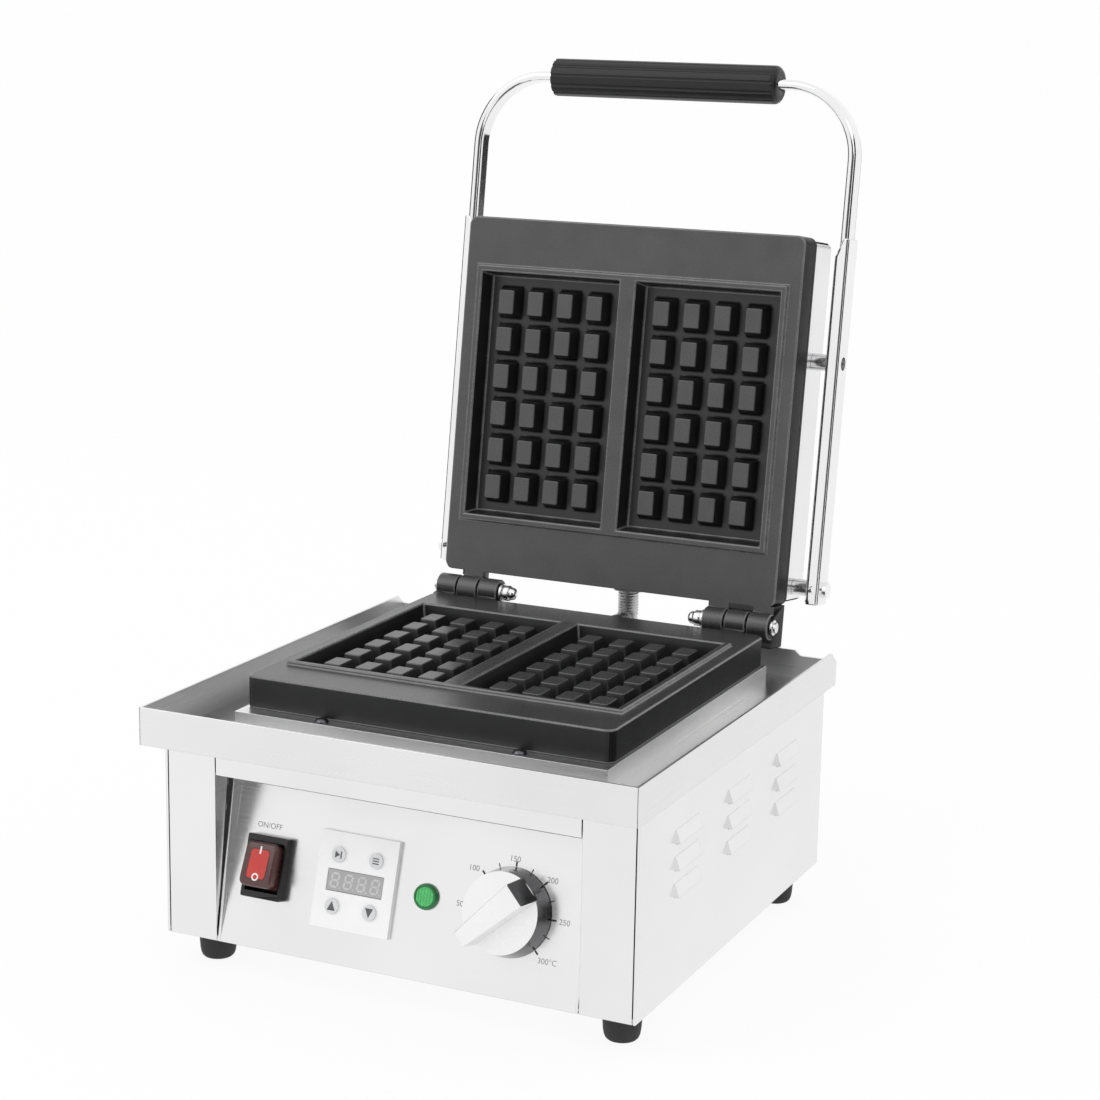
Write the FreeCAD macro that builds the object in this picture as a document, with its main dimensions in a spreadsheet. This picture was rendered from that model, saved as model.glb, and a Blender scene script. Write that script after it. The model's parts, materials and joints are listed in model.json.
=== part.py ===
import FreeCAD, Part
import math
import os
from types import SimpleNamespace


# A twin waffle maker on a stainless base, with its lid stored open.
# Millimetres. X to the right, Y to the back, Z up; Z is 0 under the feet.

SIZES = {
    # Feet, housing and tray
    "foot_height": 21,
    "foot_top_radius": 12,
    "foot_bottom_radius": 10.5,
    "foot_inset_side": 19,
    "foot_inset_end": 26,
    "foot_recess_radius": 6,
    "foot_recess_depth": 7,
    "housing_width": 308,
    "housing_height": 121.5,
    "housing_sheet": 1.5,
    "column_width": 34.5,
    "header_height": 17.5,
    "column_return": 17.7,
    "column_flange": 14,
    "cheek_flange": 12,
    "panel_seam": 0.8,
    "tray_width": 320,
    "tray_depth": 325,
    "tray_wall": 23,
    "tray_sheet": 1.5,
    "front_overhang": 18,
    "rear_overhang": 4.6,
    "rear_wall_drop": 6.5,
    "rear_stop_half": 131,
    "corner_cut": 9,
    "seam": 0.25,
    # Louvres in both sides of the housing
    "louvre_length": 35,
    "louvre_height": 8,
    "louvre_stand": 3,
    "louvre_skin": 1.1,
    "louvre_row_pitch": 16,
    "louvre_column_pitch": 82,
    "louvre_drop": 27,
    # Plinth and waffle plates
    "plinth_ledge": 10,
    "plinth_margin": 1.5,
    "plinth_seat": 22,
    "plate_size": 241,
    "plate_height": 20,
    "plate_corner": 6,
    "plate_setback": 29.5,
    "bead_width": 223,
    "bead_depth": 173.5,
    "bead_height": 2.5,
    "bead_setback": 35,
    "cavity_depth": 14,
    "cavity_margin": 4.2,
    "cavity_rib": 12,
    "cavity_draft": 2,
    "peg_pitch_across": 21.7,
    "peg_pitch_along": 25.1,
    "peg_top_across": 11.3,
    "peg_top_along": 16,
    "peg_draft": 2.6,
    "peg_drop": 3,
    "closing_gap": 0.4,
    # Hinge
    "hinge_setback": 12,
    "lid_open_angle": 98,
    "knuckle_radius": 8.6,
    "knuckle_width": 14.4,
    "knuckle_gap": 1.2,
    "pin_radius": 3,
    "pin_clearance": 0.05,
    "pin_head_radius": 5,
    "pin_head_height": 3.4,
    "pin_crown_radius": 3.4,
    "washer_radius": 6.2,
    "washer_sheet": 2,
    "hinge_play": 0.3,
    "nut_flats": 10,
    "nut_height": 5,
    "nut_dome_radius": 4.3,
    "nut_tip_radius": 2,
    "nut_dome_height": 5,
    "tail_reach": 14.5,
    "stop_gap": 0.3,
    # Heating
    "heater_thickness": 8,
    "heater_width": 40,
    "heater_length": 170,
    "heater_pitch": 90,
    "wire_slot_width": 70,
    "wire_slot_depth": 10,
    "clamp_sheet": 2,
    "clamp_width": 186,
    "clamp_depth": 190,
    "board_sheet": 2.5,
    "board_air": 0.6,
    # Lid cover and handle
    "gasket_sheet": 3,
    "gasket_width": 14,
    "cover_inset": 1,
    "cover_depth": 32,
    "cover_sheet": 1.2,
    "spacer_rise": 15.3,
    "spacer_length": 11,
    "spacer_radius": 5.5,
    "spacer_lower": 24,
    "spacer_upper": 173,
    "arm_thickness": 9.5,
    "arm_width": 19,
    "arm_start": 14,
    "arm_end": 254,
    "arm_slope": 12,
    "socket_depth": 24,
    "bar_thickness": 6.5,
    "bar_width": 15,
    "bar_cover": 1.3,
    "bar_bend": 47,
    "handle_reach": 351.5,
    "grip_radius": 12.6,
    "grip_length": 162,
    "grip_rounding": 4.5,
    "flute_radius": 1.6,
    "flute_depth": 0.6,
    "handle_bolt_radius": 3,
    "handle_head_radius": 5.4,
    "handle_head_height": 3.2,
    "sink_radius": 4.4,
    "sink_depth": 5.5,
    "sunk_head_radius": 4.1,
    "handle_nut_flats": 10,
    "handle_nut_height": 5,
    "hole_clearance": 0.15,
    "set_screw_radius": 2.6,
    "set_screw_depth": 3,
    # Conduit
    "conduit_radius": 7.2,
    "conduit_side": 3.5,
    "gland_wall": 2.5,
    "gland_length": 5,
    "gland_play": 1.35,
    # Screws
    "screw_radius": 2,
    "screw_head_radius": 4.2,
    "screw_head_height": 2.6,
    "screw_crown_radius": 2.9,
    "screw_length": 9,
    "screw_nut_flats": 7,
    "screw_nut_height": 3.2,
    "ledge_screw_side": 65,
    # Control panel
    "panel_tilt": 16.5,
    "control_height": 49,
    "switch_side": -91,
    "switch_flange": 0.7,
    "switch_corner": 1.2,
    "switch_stand": 6,
    "switch_wall": 0.8,
    "switch_end_wall": 3.2,
    "switch_body_depth": 26,
    "rocker_width": 22,
    "rocker_length": 27,
    "rocker_pivot": 2,
    "rocker_step": 5,
    "rocker_rise": 12,
    "rocker_rounding": 3,
    "rocker_root": 7,
    "rocker_angle": 10,
    "rocker_gap": 0.5,
    "rocker_pin_radius": 1.5,
    "rocker_pin_length": 0.6,
    "timer_side": -31,
    "timer_width": 52,
    "timer_length": 57,
    "timer_face": 3,
    "timer_rim": 2.5,
    "timer_wall": 1.6,
    "timer_case_depth": 20,
    "display_width": 36.8,
    "display_length": 12.4,
    "board_depth": 6,
    "button_radius": 4.5,
    "button_gap": 0.35,
    "button_stand": 1.4,
    "button_travel": 0.8,
    "button_flange": 1.1,
    "button_across": 25,
    "button_along": 30.3,
    "key_size": 6,
    "lamp_side": 15.3,
    "lamp_radius": 7.8,
    "lamp_crown_radius": 6.6,
    "lamp_stand": 3.2,
    "lamp_body_radius": 5.5,
    "lamp_body_depth": 24,
    "dial_side": 69,
    "knob_foot_radius": 26,
    "knob_radius": 23.6,
    "knob_height": 13.5,
    "knob_wall": 2,
    "knob_gap": 1,
    "knob_hub_radius": 6,
    "knob_rest_angle": 225,
    "pointer_height": 12.2,
    "pointer_reach": 25,
    "pointer_width": 10,
    "pointer_tail_reach": 18,
    "pointer_tail_width": 16,
    "shaft_radius": 3,
    "shaft_clearance": 0.05,
    "bush_radius": 5,
    "thermostat_size": 34,
    "thermostat_depth": 24,
    # Inside the base and at the back
    "terminal_width": 62,
    "terminal_depth": 22,
    "terminal_height": 18,
    "terminal_ways": 5,
    "terminal_hole_radius": 2.6,
    "inlet_side": 90,
    "inlet_rise": 26,
    "inlet_radius": 9,
    "inlet_bore_radius": 4.6,
    "inlet_flange_radius": 12,
    "inlet_flange": 4,
    "inlet_stand": 9,
}

PEG_COLUMNS = 4
PEG_ROWS = 6
LOUVRE_ROWS = 3
LOUVRE_COLUMNS = 3
GRIP_FLUTES = 12
SIDES = (-1, 1)
# How far a cutting tool runs past the face it cuts through
PAST = 1

doc = FreeCAD.newDocument("waffle_maker")
sheet = doc.addObject("Spreadsheet::Sheet", "dims")
sub_parts = []


class Size:
    """A size with its value now and its formula over the sheet's cells."""

    def __init__(self, value, text):
        self.value = value
        self.text = text

    def __add__(self, other):
        other = as_size(other)
        return Size(self.value + other.value, f"({self.text} + {other.text})")

    def __sub__(self, other):
        other = as_size(other)
        return Size(self.value - other.value, f"({self.text} - {other.text})")

    def __mul__(self, other):
        other = as_size(other)
        return Size(self.value * other.value, f"({self.text} * {other.text})")

    def __truediv__(self, other):
        other = as_size(other)
        return Size(self.value / other.value, f"({self.text} / {other.text})")

    def __neg__(self):
        return Size(-self.value, f"(0 - {self.text})")

    def __radd__(self, other):
        return as_size(other) + self

    def __rsub__(self, other):
        return as_size(other) - self

    def __rmul__(self, other):
        return as_size(other) * self


def as_size(number):
    return number if isinstance(number, Size) else Size(float(number), f"({number})")


def sine(angle):
    return Size(math.sin(math.radians(angle.value)), f"sin({angle.text})")


def cosine(angle):
    return Size(math.cos(math.radians(angle.value)), f"cos({angle.text})")


def arc_tangent(ratio):
    return Size(math.degrees(math.atan(ratio.value)), f"(atan({ratio.text}) / 1 deg)")


def hypotenuse(first, second):
    value = math.hypot(first.value, second.value)
    return Size(value, f"sqrt({first.text} * {first.text} + {second.text} * {second.text})")


def drive(row, name, number):
    """Put one driving size on the sheet and return it."""
    cell = f"B{row}"
    sheet.set(f"A{row}", name)
    sheet.set(cell, str(number))
    sheet.setAlias(cell, name)
    return Size(float(number), f"dims.{name}")


d = SimpleNamespace(**{name: drive(row, name, number) for row, (name, number) in enumerate(SIZES.items(), 1)})
doc.recompute()

# Heights
base_z = d.foot_height
tray_z = base_z + d.housing_height
floor_z = tray_z + d.tray_sheet
rim_z = tray_z + d.tray_wall
plinth_height = d.heater_thickness + d.clamp_sheet + d.board_air + d.board_sheet
plinth_top = floor_z + plinth_height
face_z = plinth_top + d.plate_height
half_gap = d.bead_height + d.closing_gap / 2
hinge_z = face_z + half_gap
header_z = tray_z - d.header_height

# Depths, measured from the middle of the tray
tray_rear = d.tray_depth / 2
tray_front = -tray_rear
housing_front = tray_front + d.front_overhang
housing_rear = tray_rear - d.rear_overhang
housing_middle = (housing_front + housing_rear) / 2
plate_rear = tray_rear - d.plate_setback
plate_front = plate_rear - d.plate_size
plinth_front = plate_front - d.plinth_ledge
plinth_rear = plate_rear + d.plinth_margin
hinge_y = plate_rear + d.hinge_setback
ledge_y = plinth_front + d.plinth_ledge / 2
conduit_y = housing_rear - d.housing_sheet - d.seam - d.conduit_radius

# Half widths
housing_half = d.housing_width / 2
tray_half = d.tray_width / 2
plate_half = d.plate_size / 2
plinth_half = plate_half + d.plinth_margin
opening_half = housing_half - d.column_width
cover_half = plate_half - d.cover_inset
arm_inner = cover_half + d.spacer_length
arm_outer = arm_inner + d.arm_thickness
bar_middle = arm_outer - d.bar_cover - d.bar_thickness / 2

# The switch's well clears the rocker's lower corners as they swing
rocker_reach = hypotenuse(d.rocker_length / 2, d.rocker_step)
well_half = d.rocker_width / 2 + d.rocker_gap
well_tall = rocker_reach + d.rocker_gap
switch_body_half = well_half + d.rocker_pin_length + d.switch_wall
switch_body_tall = well_tall + d.switch_end_wall

# The lid closed, measured from the hinge pin
plate_back = half_gap + d.plate_height
gasket_back = plate_back + d.gasket_sheet
cover_back = gasket_back + d.cover_depth
spacer_z = gasket_back + d.spacer_rise
lid_rear = -d.hinge_setback
lid_front = lid_rear - d.plate_size
cover_rear = lid_rear - d.cover_inset
cover_front = lid_front + d.cover_inset
bead_middle = lid_rear - d.bead_setback - d.bead_depth / 2
gland_radius = d.conduit_radius + d.gland_wall
conduit_z = gasket_back + d.seam + gland_radius

# Where the open lid's tail meets the tray's rear wall
open_sine = sine(d.lid_open_angle)
open_cosine = cosine(d.lid_open_angle)
tail_along = (tray_rear - hinge_y - d.tail_reach * open_cosine) / open_sine
stop_top = hinge_z - d.tail_reach * open_sine + tail_along * open_cosine - d.stop_gap

# The origin lies under the middle of the whole outline, from the tray's front to the grip's back
grip_back = hinge_y - d.handle_reach * open_cosine + spacer_z * open_sine + d.grip_radius
origin_shift = -(tray_front + grip_back) / 2


def spot(x=0, y=0, z=0, axis=(0, 0, 1), angle=0):
    """A placement formula: a turn about an axis through the origin, then a move."""
    move = "; ".join(as_size(part).text for part in (x, y, z))
    direction = "; ".join(f"({part})" for part in axis)
    turn = as_size(angle).text
    return f"placement(vector({move}); rotation(vector({direction}); {turn}))"


X_AXIS = (1, 0, 0)
Y_AXIS = (0, 1, 0)
ALONG = {"X": (Y_AXIS, 90), "Y": (X_AXIS, -90), "Z": ((0, 0, 1), 0)}

BASE = spot(0, origin_shift, 0)
LID = f"{BASE} * {spot(0, hinge_y, hinge_z, X_AXIS, -d.lid_open_angle)}"
PANEL = f"{BASE} * {spot(0, housing_front, base_z, X_AXIS, 90 - d.panel_tilt)}"
LOWER_CASTING = f"{BASE} * {spot(0, hinge_y, hinge_z)}"
UPPER_CASTING = f"{LID} * {spot(axis=Y_AXIS, angle=180)}"


def bind(thing, name, size):
    thing.setExpression(name, as_size(size).text)


def primitive(kind, sizes, place):
    thing = doc.addObject(f"Part::{kind}", kind.lower())
    for name, size in sizes.items():
        bind(thing, name, size)
    thing.setExpression("Placement", place)
    return thing


def box(x, y, z):
    """A block between two limits on each axis."""
    sizes = {"Length": x[1] - x[0], "Width": y[1] - y[0], "Height": z[1] - z[0]}
    return primitive("Box", sizes, spot(x[0], y[0], z[0]))


def rod(start, radius, length, along="Z"):
    return primitive("Cylinder", {"Radius": radius, "Height": length}, spot(*start, *ALONG[along]))


def cone(start, low_radius, high_radius, length, along="Z"):
    sizes = {"Radius1": low_radius, "Radius2": high_radius, "Height": length}
    return primitive("Cone", sizes, spot(*start, *ALONG[along]))


def hexagon(start, flats, length, along="Z"):
    thing = primitive("Prism", {"Height": length}, spot(*start, *ALONG[along]))
    thing.Polygon = 6
    bind(thing, "Circumradius", flats / math.sqrt(3))
    return thing


def wedge(low, high, z):
    """A block whose (x, y) limits change evenly from low, at the first z, to high, at the second."""
    sizes = {
        "Xmin": low[0][0], "Xmax": low[0][1], "X2min": high[0][0], "X2max": high[0][1],
        "Zmin": -as_size(low[1][1]), "Zmax": -as_size(low[1][0]),
        "Z2min": -as_size(high[1][1]), "Z2max": -as_size(high[1][0]),
        "Ymin": z[0], "Ymax": z[1],
    }
    return primitive("Wedge", sizes, spot(axis=X_AXIS, angle=90))


def fuse(*things):
    union = doc.addObject("Part::MultiFuse", "union")
    union.Shapes = list(things)
    union.Refine = True
    return union


def group(*things):
    """Separate solids that share one node."""
    together = doc.addObject("Part::Compound", "group")
    together.Links = list(things)
    return together


def cut(base, *tools):
    left = doc.addObject("Part::Cut", "cut")
    left.Base = base
    left.Tool = tools[0] if len(tools) == 1 else fuse(*tools)
    return left


def common(first, second):
    overlap = doc.addObject("Part::Common", "common")
    overlap.Base = first
    overlap.Tool = second
    return overlap


def round_uprights(block, radius):
    """Round a plain block's four upright edges."""
    rounded = doc.addObject("Part::Fillet", "rounded")
    rounded.Base = block
    rounded.Edges = [(edge, radius.value, radius.value) for edge in (1, 3, 5, 7)]
    return rounded


def sub_part(name, thing, place=BASE):
    thing.Label = name
    thing.setExpression("Placement", place)
    sub_parts.append(thing)
    return thing


def mirrored(side, low, high):
    """Limits on the right-hand side, or the same limits mirrored to the left."""
    return (low, high) if side > 0 else (-as_size(high), -as_size(low))


def pin(side, low, high, y, z, radius):
    """A rod along X between two limits, on either side."""
    start, end = mirrored(side, low, high)
    return rod((start, y, z), radius, as_size(end) - start, "X")


def bend(middle, radius, tube, start, sweep, frame=""):
    """Part of a ring of round tube about Z, from a start angle through a sweep, in an optional frame."""
    place = spot(*middle, angle=start)
    sizes = {"Radius1": radius, "Radius2": tube, "Angle3": sweep}
    return primitive("Torus", sizes, f"{frame} * {place}" if frame else place)


def quarter_band(middle, inner, outer, height, start):
    """A quarter of a flat ring, standing on middle."""
    bands = []
    for radius, low, tall in ((outer, 0, height), (inner, -PAST, height + PAST * 2)):
        x, y, z = middle
        band = primitive("Cylinder", {"Radius": radius, "Height": tall}, spot(x, y, z + low, angle=start))
        bands.append(band)
    bind(bands[0], "Angle", 90)
    return cut(*bands)


def flat_oval(start, length, along, grow=0):
    """The handle bar's section run straight along X or Y, with the bar's width upright."""
    half = d.bar_thickness / 2 + grow
    flat = (d.bar_width - d.bar_thickness) / 2
    x, y, z = start
    ends = [rod((x, y, z + side * flat), half, length, along) for side in SIDES]
    if along == "X":
        web = box((x, x + length), (y - half, y + half), (z - flat, z + flat))
    else:
        web = box((x - half, x + half), (y, y + length), (z - flat, z + flat))
    return fuse(web, *ends)


def screw(x, y, z):
    """A pan-head screw whose head sits on a face at z, pointing down."""
    head = cone((x, y, z), d.screw_head_radius, d.screw_crown_radius, d.screw_head_height)
    shank = rod((x, y, z - d.screw_length), d.screw_radius, d.screw_length + PAST)
    return fuse(head, shank)


screw_hole = d.screw_radius + d.hole_clearance
bolt_hole = d.handle_bolt_radius + d.hole_clearance
foot_spots = [
    (side * (housing_half - d.foot_inset_side), y)
    for side in SIDES
    for y in (housing_front + d.foot_inset_end, housing_rear - d.foot_inset_end)
]


def make_feet():
    feet, screws, nuts = [], [], []
    shank_top = base_z + d.housing_sheet + d.screw_nut_height
    head_z = d.foot_recess_depth - d.screw_head_height
    for x, y in foot_spots:
        recess = rod((x, y, -PAST), d.foot_recess_radius, d.foot_recess_depth + PAST)
        hole = rod((x, y, 0), screw_hole, d.foot_height + PAST)
        taper = cone((x, y, 0), d.foot_bottom_radius, d.foot_top_radius, d.foot_height)
        feet.append(cut(taper, recess, hole))
        head = rod((x, y, head_z), d.screw_head_radius, d.screw_head_height)
        shank = rod((x, y, head_z + PAST), d.screw_radius, shank_top - head_z - PAST)
        screws.append(fuse(head, shank))
        ring = hexagon((x, y, base_z + d.housing_sheet), d.screw_nut_flats, d.screw_nut_height)
        nuts.append(cut(ring, rod((x, y, base_z), screw_hole, d.foot_height)))
    sub_part("feet", group(*feet))
    sub_part("foot_screws", group(*screws))
    sub_part("foot_nuts", group(*nuts))


def make_bottom_plate():
    inner = housing_half - d.housing_sheet - d.seam
    front = housing_front + d.housing_sheet * 3
    rear = housing_rear - d.housing_sheet - d.seam
    plate = box((-inner, inner), (front, rear), (base_z, base_z + d.housing_sheet))
    holes = [rod((x, y, base_z - PAST), screw_hole, d.housing_sheet + PAST * 2) for x, y in foot_spots]
    sub_part("bottom_plate", cut(plate, *holes))


def louvre(side, y, z):
    """One pressed hood, open at its lower edge, and the space to cut out under it."""
    wall = housing_half - d.housing_sheet
    tip = housing_half + d.louvre_stand
    run = (y - d.louvre_length / 2, y + d.louvre_length / 2)
    inner_run = (run[0] + d.louvre_skin, run[1] - d.louvre_skin)
    low = (mirrored(side, wall, tip), run)
    high = (mirrored(side, wall, housing_half + d.seam), run)
    inner_low = (mirrored(side, wall - PAST, tip - d.louvre_skin), inner_run)
    inner_high = (mirrored(side, wall - PAST, wall + d.seam), inner_run)
    hood = wedge(low, high, (z, z + d.louvre_height))
    hollow = wedge(inner_low, inner_high, (z - PAST, z + d.louvre_height - d.louvre_skin))
    return hood, hollow


def make_housing():
    """The sides and the back, folded from one sheet and open at the front."""
    s = d.housing_sheet
    outer = box((-housing_half, housing_half), (housing_front, housing_rear), (base_z, tray_z))
    inner = box(
        (s - housing_half, housing_half - s), (housing_front - PAST, housing_rear - s),
        (base_z - PAST, tray_z + PAST),
    )
    inlet_spot = (d.inlet_side, housing_rear - s - PAST, base_z + d.inlet_rise)
    inlet = rod(inlet_spot, d.inlet_radius + d.seam, s + PAST * 2, "Y")
    hoods, hollows = [], []
    for side in SIDES:
        for column in range(LOUVRE_COLUMNS):
            y = housing_middle + d.louvre_column_pitch * (column - (LOUVRE_COLUMNS - 1) / 2)
            for row in range(LOUVRE_ROWS):
                z = tray_z - d.louvre_drop - d.louvre_row_pitch * row - d.louvre_height / 2
                hood, hollow = louvre(side, y, z)
                hoods.append(hood)
                hollows.append(hollow)
    sub_part("housing", cut(fuse(cut(outer, inner, inlet), *hoods), group(*hollows)))


def make_column(name, side):
    """A front column: its face, the flange inside the housing's wall and the tapered return at the recess."""
    s = d.housing_sheet
    upright = (base_z, tray_z)
    outside = housing_half - s - d.panel_seam
    front = housing_front
    face = box(mirrored(side, opening_half, outside), (front, front + s), upright)
    flange = box(mirrored(side, outside - s, outside), (front, front + d.column_flange), (base_z + s, tray_z))
    edge = mirrored(side, opening_half, opening_half + s)
    low = (edge, (front, front + s))
    high = (edge, (front, front + d.column_return))
    sub_part(name, fuse(face, flange, wedge(low, high, upright)))


def at_panel(x, y=0):
    """A point on the panel's plane, from the middle of the row of controls."""
    return x, d.control_height + y


def make_control_panel():
    s = d.housing_sheet
    width = opening_half - d.panel_seam
    skin = s / cosine(d.panel_tilt)
    slope = sine(d.panel_tilt) / cosine(d.panel_tilt)
    depth = (header_z - base_z) * slope
    front = housing_front
    shell = wedge(
        ((-width, width), (front, front + skin)),
        ((-width, width), (front, front + depth + s * slope + skin)),
        (base_z, header_z + s),
    )
    inside = (s - width, width - s)
    recess_low, recess_high = (front - PAST, front), (front - PAST, front + depth)
    recess = wedge((inside, recess_low), (inside, recess_high), (base_z, header_z))
    reach = (front - PAST, front + depth - d.cheek_flange)
    reliefs = [
        wedge((outside, (front - PAST, front)), (outside, reach), (base_z, header_z))
        for outside in (mirrored(side, width - s - PAST, width + PAST) for side in SIDES)
    ]
    header_space = box((-width - PAST, width + PAST), (front - PAST, front + s), (header_z, tray_z))
    skinned = cut(shell, recess, header_space, *reliefs)
    holes = [
        panel_hole(d.switch_side, switch_body_half * 2, switch_body_tall * 2),
        panel_hole(d.timer_side, d.timer_width - d.timer_rim * 2, d.timer_length - d.timer_rim * 2),
        rod((*at_panel(d.lamp_side), -s * 2), d.lamp_body_radius + d.seam, s * 4),
        rod((*at_panel(d.dial_side), -s * 2), d.bush_radius + d.seam, s * 4),
    ]
    cutters = group(*holes)
    cutters.setExpression("Placement", spot(0, housing_front, base_z, X_AXIS, 90 - d.panel_tilt))
    sub_part("control_panel", cut(skinned, cutters))
    sub_part("header_strip", group(box((-width, width), (front, front + s), (header_z, tray_z))))


def panel_hole(x, width, length):
    middle_x, middle_y = at_panel(x)
    half, tall = width / 2 + d.seam, length / 2 + d.seam
    deep = d.housing_sheet * 2
    return box((middle_x - half, middle_x + half), (middle_y - tall, middle_y + tall), (-deep, deep))


def make_tray():
    s = d.tray_sheet
    outer = box((-tray_half, tray_half), (tray_front, tray_rear), (tray_z, rim_z))
    inner = box((s - tray_half, tray_half - s), (tray_front + s, tray_rear - s), (floor_z, rim_z + PAST))
    low_z = rim_z - d.rear_wall_drop
    rear = (tray_rear - s, tray_rear + PAST)
    tools = [inner, box((-d.rear_stop_half, d.rear_stop_half), rear, (stop_top, rim_z + PAST))]
    for side in SIDES:
        beside_low = (mirrored(side, d.rear_stop_half + d.corner_cut / 2, tray_half + PAST), rear)
        beside_high = (mirrored(side, d.rear_stop_half, tray_half + PAST), rear)
        tools.append(wedge(beside_low, beside_high, (low_z, rim_z + PAST)))
        wall = mirrored(side, tray_half - s - PAST, tray_half + PAST)
        corner_low = (wall, (tray_rear - s, tray_rear + PAST))
        corner_high = (wall, (tray_rear - s - d.corner_cut, tray_rear + PAST))
        tools.append(wedge(corner_low, corner_high, (low_z, rim_z + PAST)))
    slot_rear = plinth_rear - s - d.seam
    wires = box(
        (-d.wire_slot_width / 2, d.wire_slot_width / 2), (slot_rear - d.wire_slot_depth, slot_rear),
        (tray_z - PAST, floor_z + PAST),
    )
    conduit_hole = rod((d.conduit_side, conduit_y, tray_z - PAST), d.conduit_radius + d.seam, s + PAST * 2)
    beside = (d.conduit_side - gland_radius, d.conduit_side + gland_radius)
    notch = box(beside, rear, (floor_z + d.gland_length, rim_z + PAST))
    sub_part("tray", cut(outer, *tools, wires, conduit_hole, notch))


def make_plinth():
    s = d.tray_sheet
    outer = box((-plinth_half, plinth_half), (plinth_front, plinth_rear), (floor_z, plinth_top))
    inner = box(
        (s - plinth_half, plinth_half - s), (plinth_front + s, plinth_rear - s),
        (floor_z - PAST, plinth_top - s),
    )
    window_half = plate_half - d.plinth_seat
    window = box(
        (-window_half, window_half), (plate_front + d.plinth_seat, plate_rear - d.plinth_seat),
        (floor_z, plinth_top + PAST),
    )
    spots = [(side * d.ledge_screw_side, ledge_y) for side in SIDES]
    holes = [rod((x, y, floor_z), screw_hole, plinth_height + PAST) for x, y in spots]
    sub_part("plinth", cut(outer, inner, window, *holes))
    sub_part("plinth_screws", group(*(screw(x, y, plinth_top) for x, y in spots)))


def cavity_limits(side, shrink=0):
    """One cavity's mouth, to the right or left of the middle rib."""
    inner, outer = d.cavity_rib / 2 + shrink, d.bead_width / 2 - d.cavity_margin - shrink
    half = d.bead_depth / 2 - d.cavity_margin - shrink
    middle = bead_middle
    return mirrored(side, inner, outer), (middle - half, middle + half)


def pegs(side, floor):
    """The grid of tapered pegs that stands in one cavity."""
    inner, outer = cavity_limits(1)[0]
    middle = (inner + outer) / 2 * side
    top = floor + d.cavity_depth - d.peg_drop
    stand = []
    for column in range(PEG_COLUMNS):
        x = middle + d.peg_pitch_across * (column - (PEG_COLUMNS - 1) / 2)
        for row in range(PEG_ROWS):
            y = bead_middle + d.peg_pitch_along * (row - (PEG_ROWS - 1) / 2)
            half, tall = d.peg_top_across / 2, d.peg_top_along / 2
            high = ((x - half, x + half), (y - tall, y + tall))
            half, tall = half + d.peg_draft, tall + d.peg_draft
            low = ((x - half, x + half), (y - tall, y + tall))
            stand.append(wedge(low, high, (floor - PAST, top)))
    return stand


pitch = d.knuckle_width + d.knuckle_gap


def knuckle(side, place):
    """A hinge eye, counted inward from the plate's side, with the web that joins it to the plate."""
    outer = plate_half - pitch * place
    inner = outer - d.knuckle_width
    eye = pin(side, inner, outer, 0, 0, d.knuckle_radius)
    web = box(mirrored(side, inner, outer), (lid_rear - PAST, 0), (-d.knuckle_radius, -half_gap))
    return fuse(eye, web)


def make_casting(name, place, tail):
    """A waffle plate with its face up and the pin as origin; the lid has the same casting turned over."""
    top = -half_gap
    block = round_uprights(
        box((-plate_half, plate_half), (lid_front, lid_rear), (top - d.plate_height, top)), d.plate_corner
    )
    bead_half = d.bead_width / 2
    bead = box(
        (-bead_half, bead_half), (bead_middle - d.bead_depth / 2, bead_middle + d.bead_depth / 2),
        (top - PAST, top + d.bead_height),
    )
    floor = top + d.bead_height - d.cavity_depth
    hollows = [
        wedge(cavity_limits(side, d.cavity_draft), cavity_limits(side), (floor, top + d.bead_height))
        for side in SIDES
    ]
    knuckles = [knuckle(-1, 0), knuckle(-1, 2), knuckle(1, 1)]
    if tail:
        span = mirrored(-1, plate_half - d.knuckle_width, plate_half)
        knuckles.append(box(span, (lid_rear - PAST, d.tail_reach), (top - d.plate_height, top)))
    bore = rod((-plate_half - PAST, 0, 0), d.pin_radius + d.pin_clearance, d.plate_size + PAST * 2, "X")
    dished = cut(fuse(block, bead), *hollows)
    solid = fuse(dished, *pegs(-1, floor), *pegs(1, floor), *knuckles)
    sub_part(name, cut(solid, bore), place)


def nut_dome(side, nut_in):
    """The closed inner end of a cap nut, narrowing towards the middle of the object."""
    start, end = mirrored(side, nut_in - d.nut_dome_height, nut_in)
    radii = (d.nut_tip_radius, d.nut_dome_radius) if side > 0 else (d.nut_dome_radius, d.nut_tip_radius)
    return cone((start, 0, 0), *radii, end - start, "X")


def make_hinge_hardware():
    bolts, washers, nuts = [], [], []
    inner = plate_half - pitch * 2 - d.knuckle_width - d.hinge_play
    outer = plate_half + d.hinge_play
    washer_in = inner - d.washer_sheet
    nut_in = washer_in - d.nut_height
    r = d.pin_radius
    for side in SIDES:
        shank = pin(side, nut_in + PAST, outer + PAST, 0, 0, r)
        head = pin(side, outer, outer + d.pin_head_height / 2, 0, 0, d.pin_head_radius)
        cap = pin(side, outer, outer + d.pin_head_height, 0, 0, d.pin_crown_radius)
        bolts.append(fuse(shank, head, cap))
        disc = pin(side, washer_in, inner, 0, 0, d.washer_radius)
        washers.append(cut(disc, pin(side, washer_in - PAST, inner + PAST, 0, 0, r + d.pin_clearance)))
        start = mirrored(side, nut_in, washer_in)[0]
        barrel = hexagon((start, 0, 0), d.nut_flats, d.nut_height, "X")
        dome = nut_dome(side, nut_in)
        thread = pin(side, nut_in, washer_in + PAST, 0, 0, r + d.pin_clearance)
        nuts.append(cut(fuse(barrel, dome), thread))
    sub_part("hinge_bolts", group(*bolts), LOWER_CASTING)
    sub_part("hinge_washers", group(*washers), LOWER_CASTING)
    sub_part("hinge_nuts", group(*nuts), LOWER_CASTING)


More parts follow.
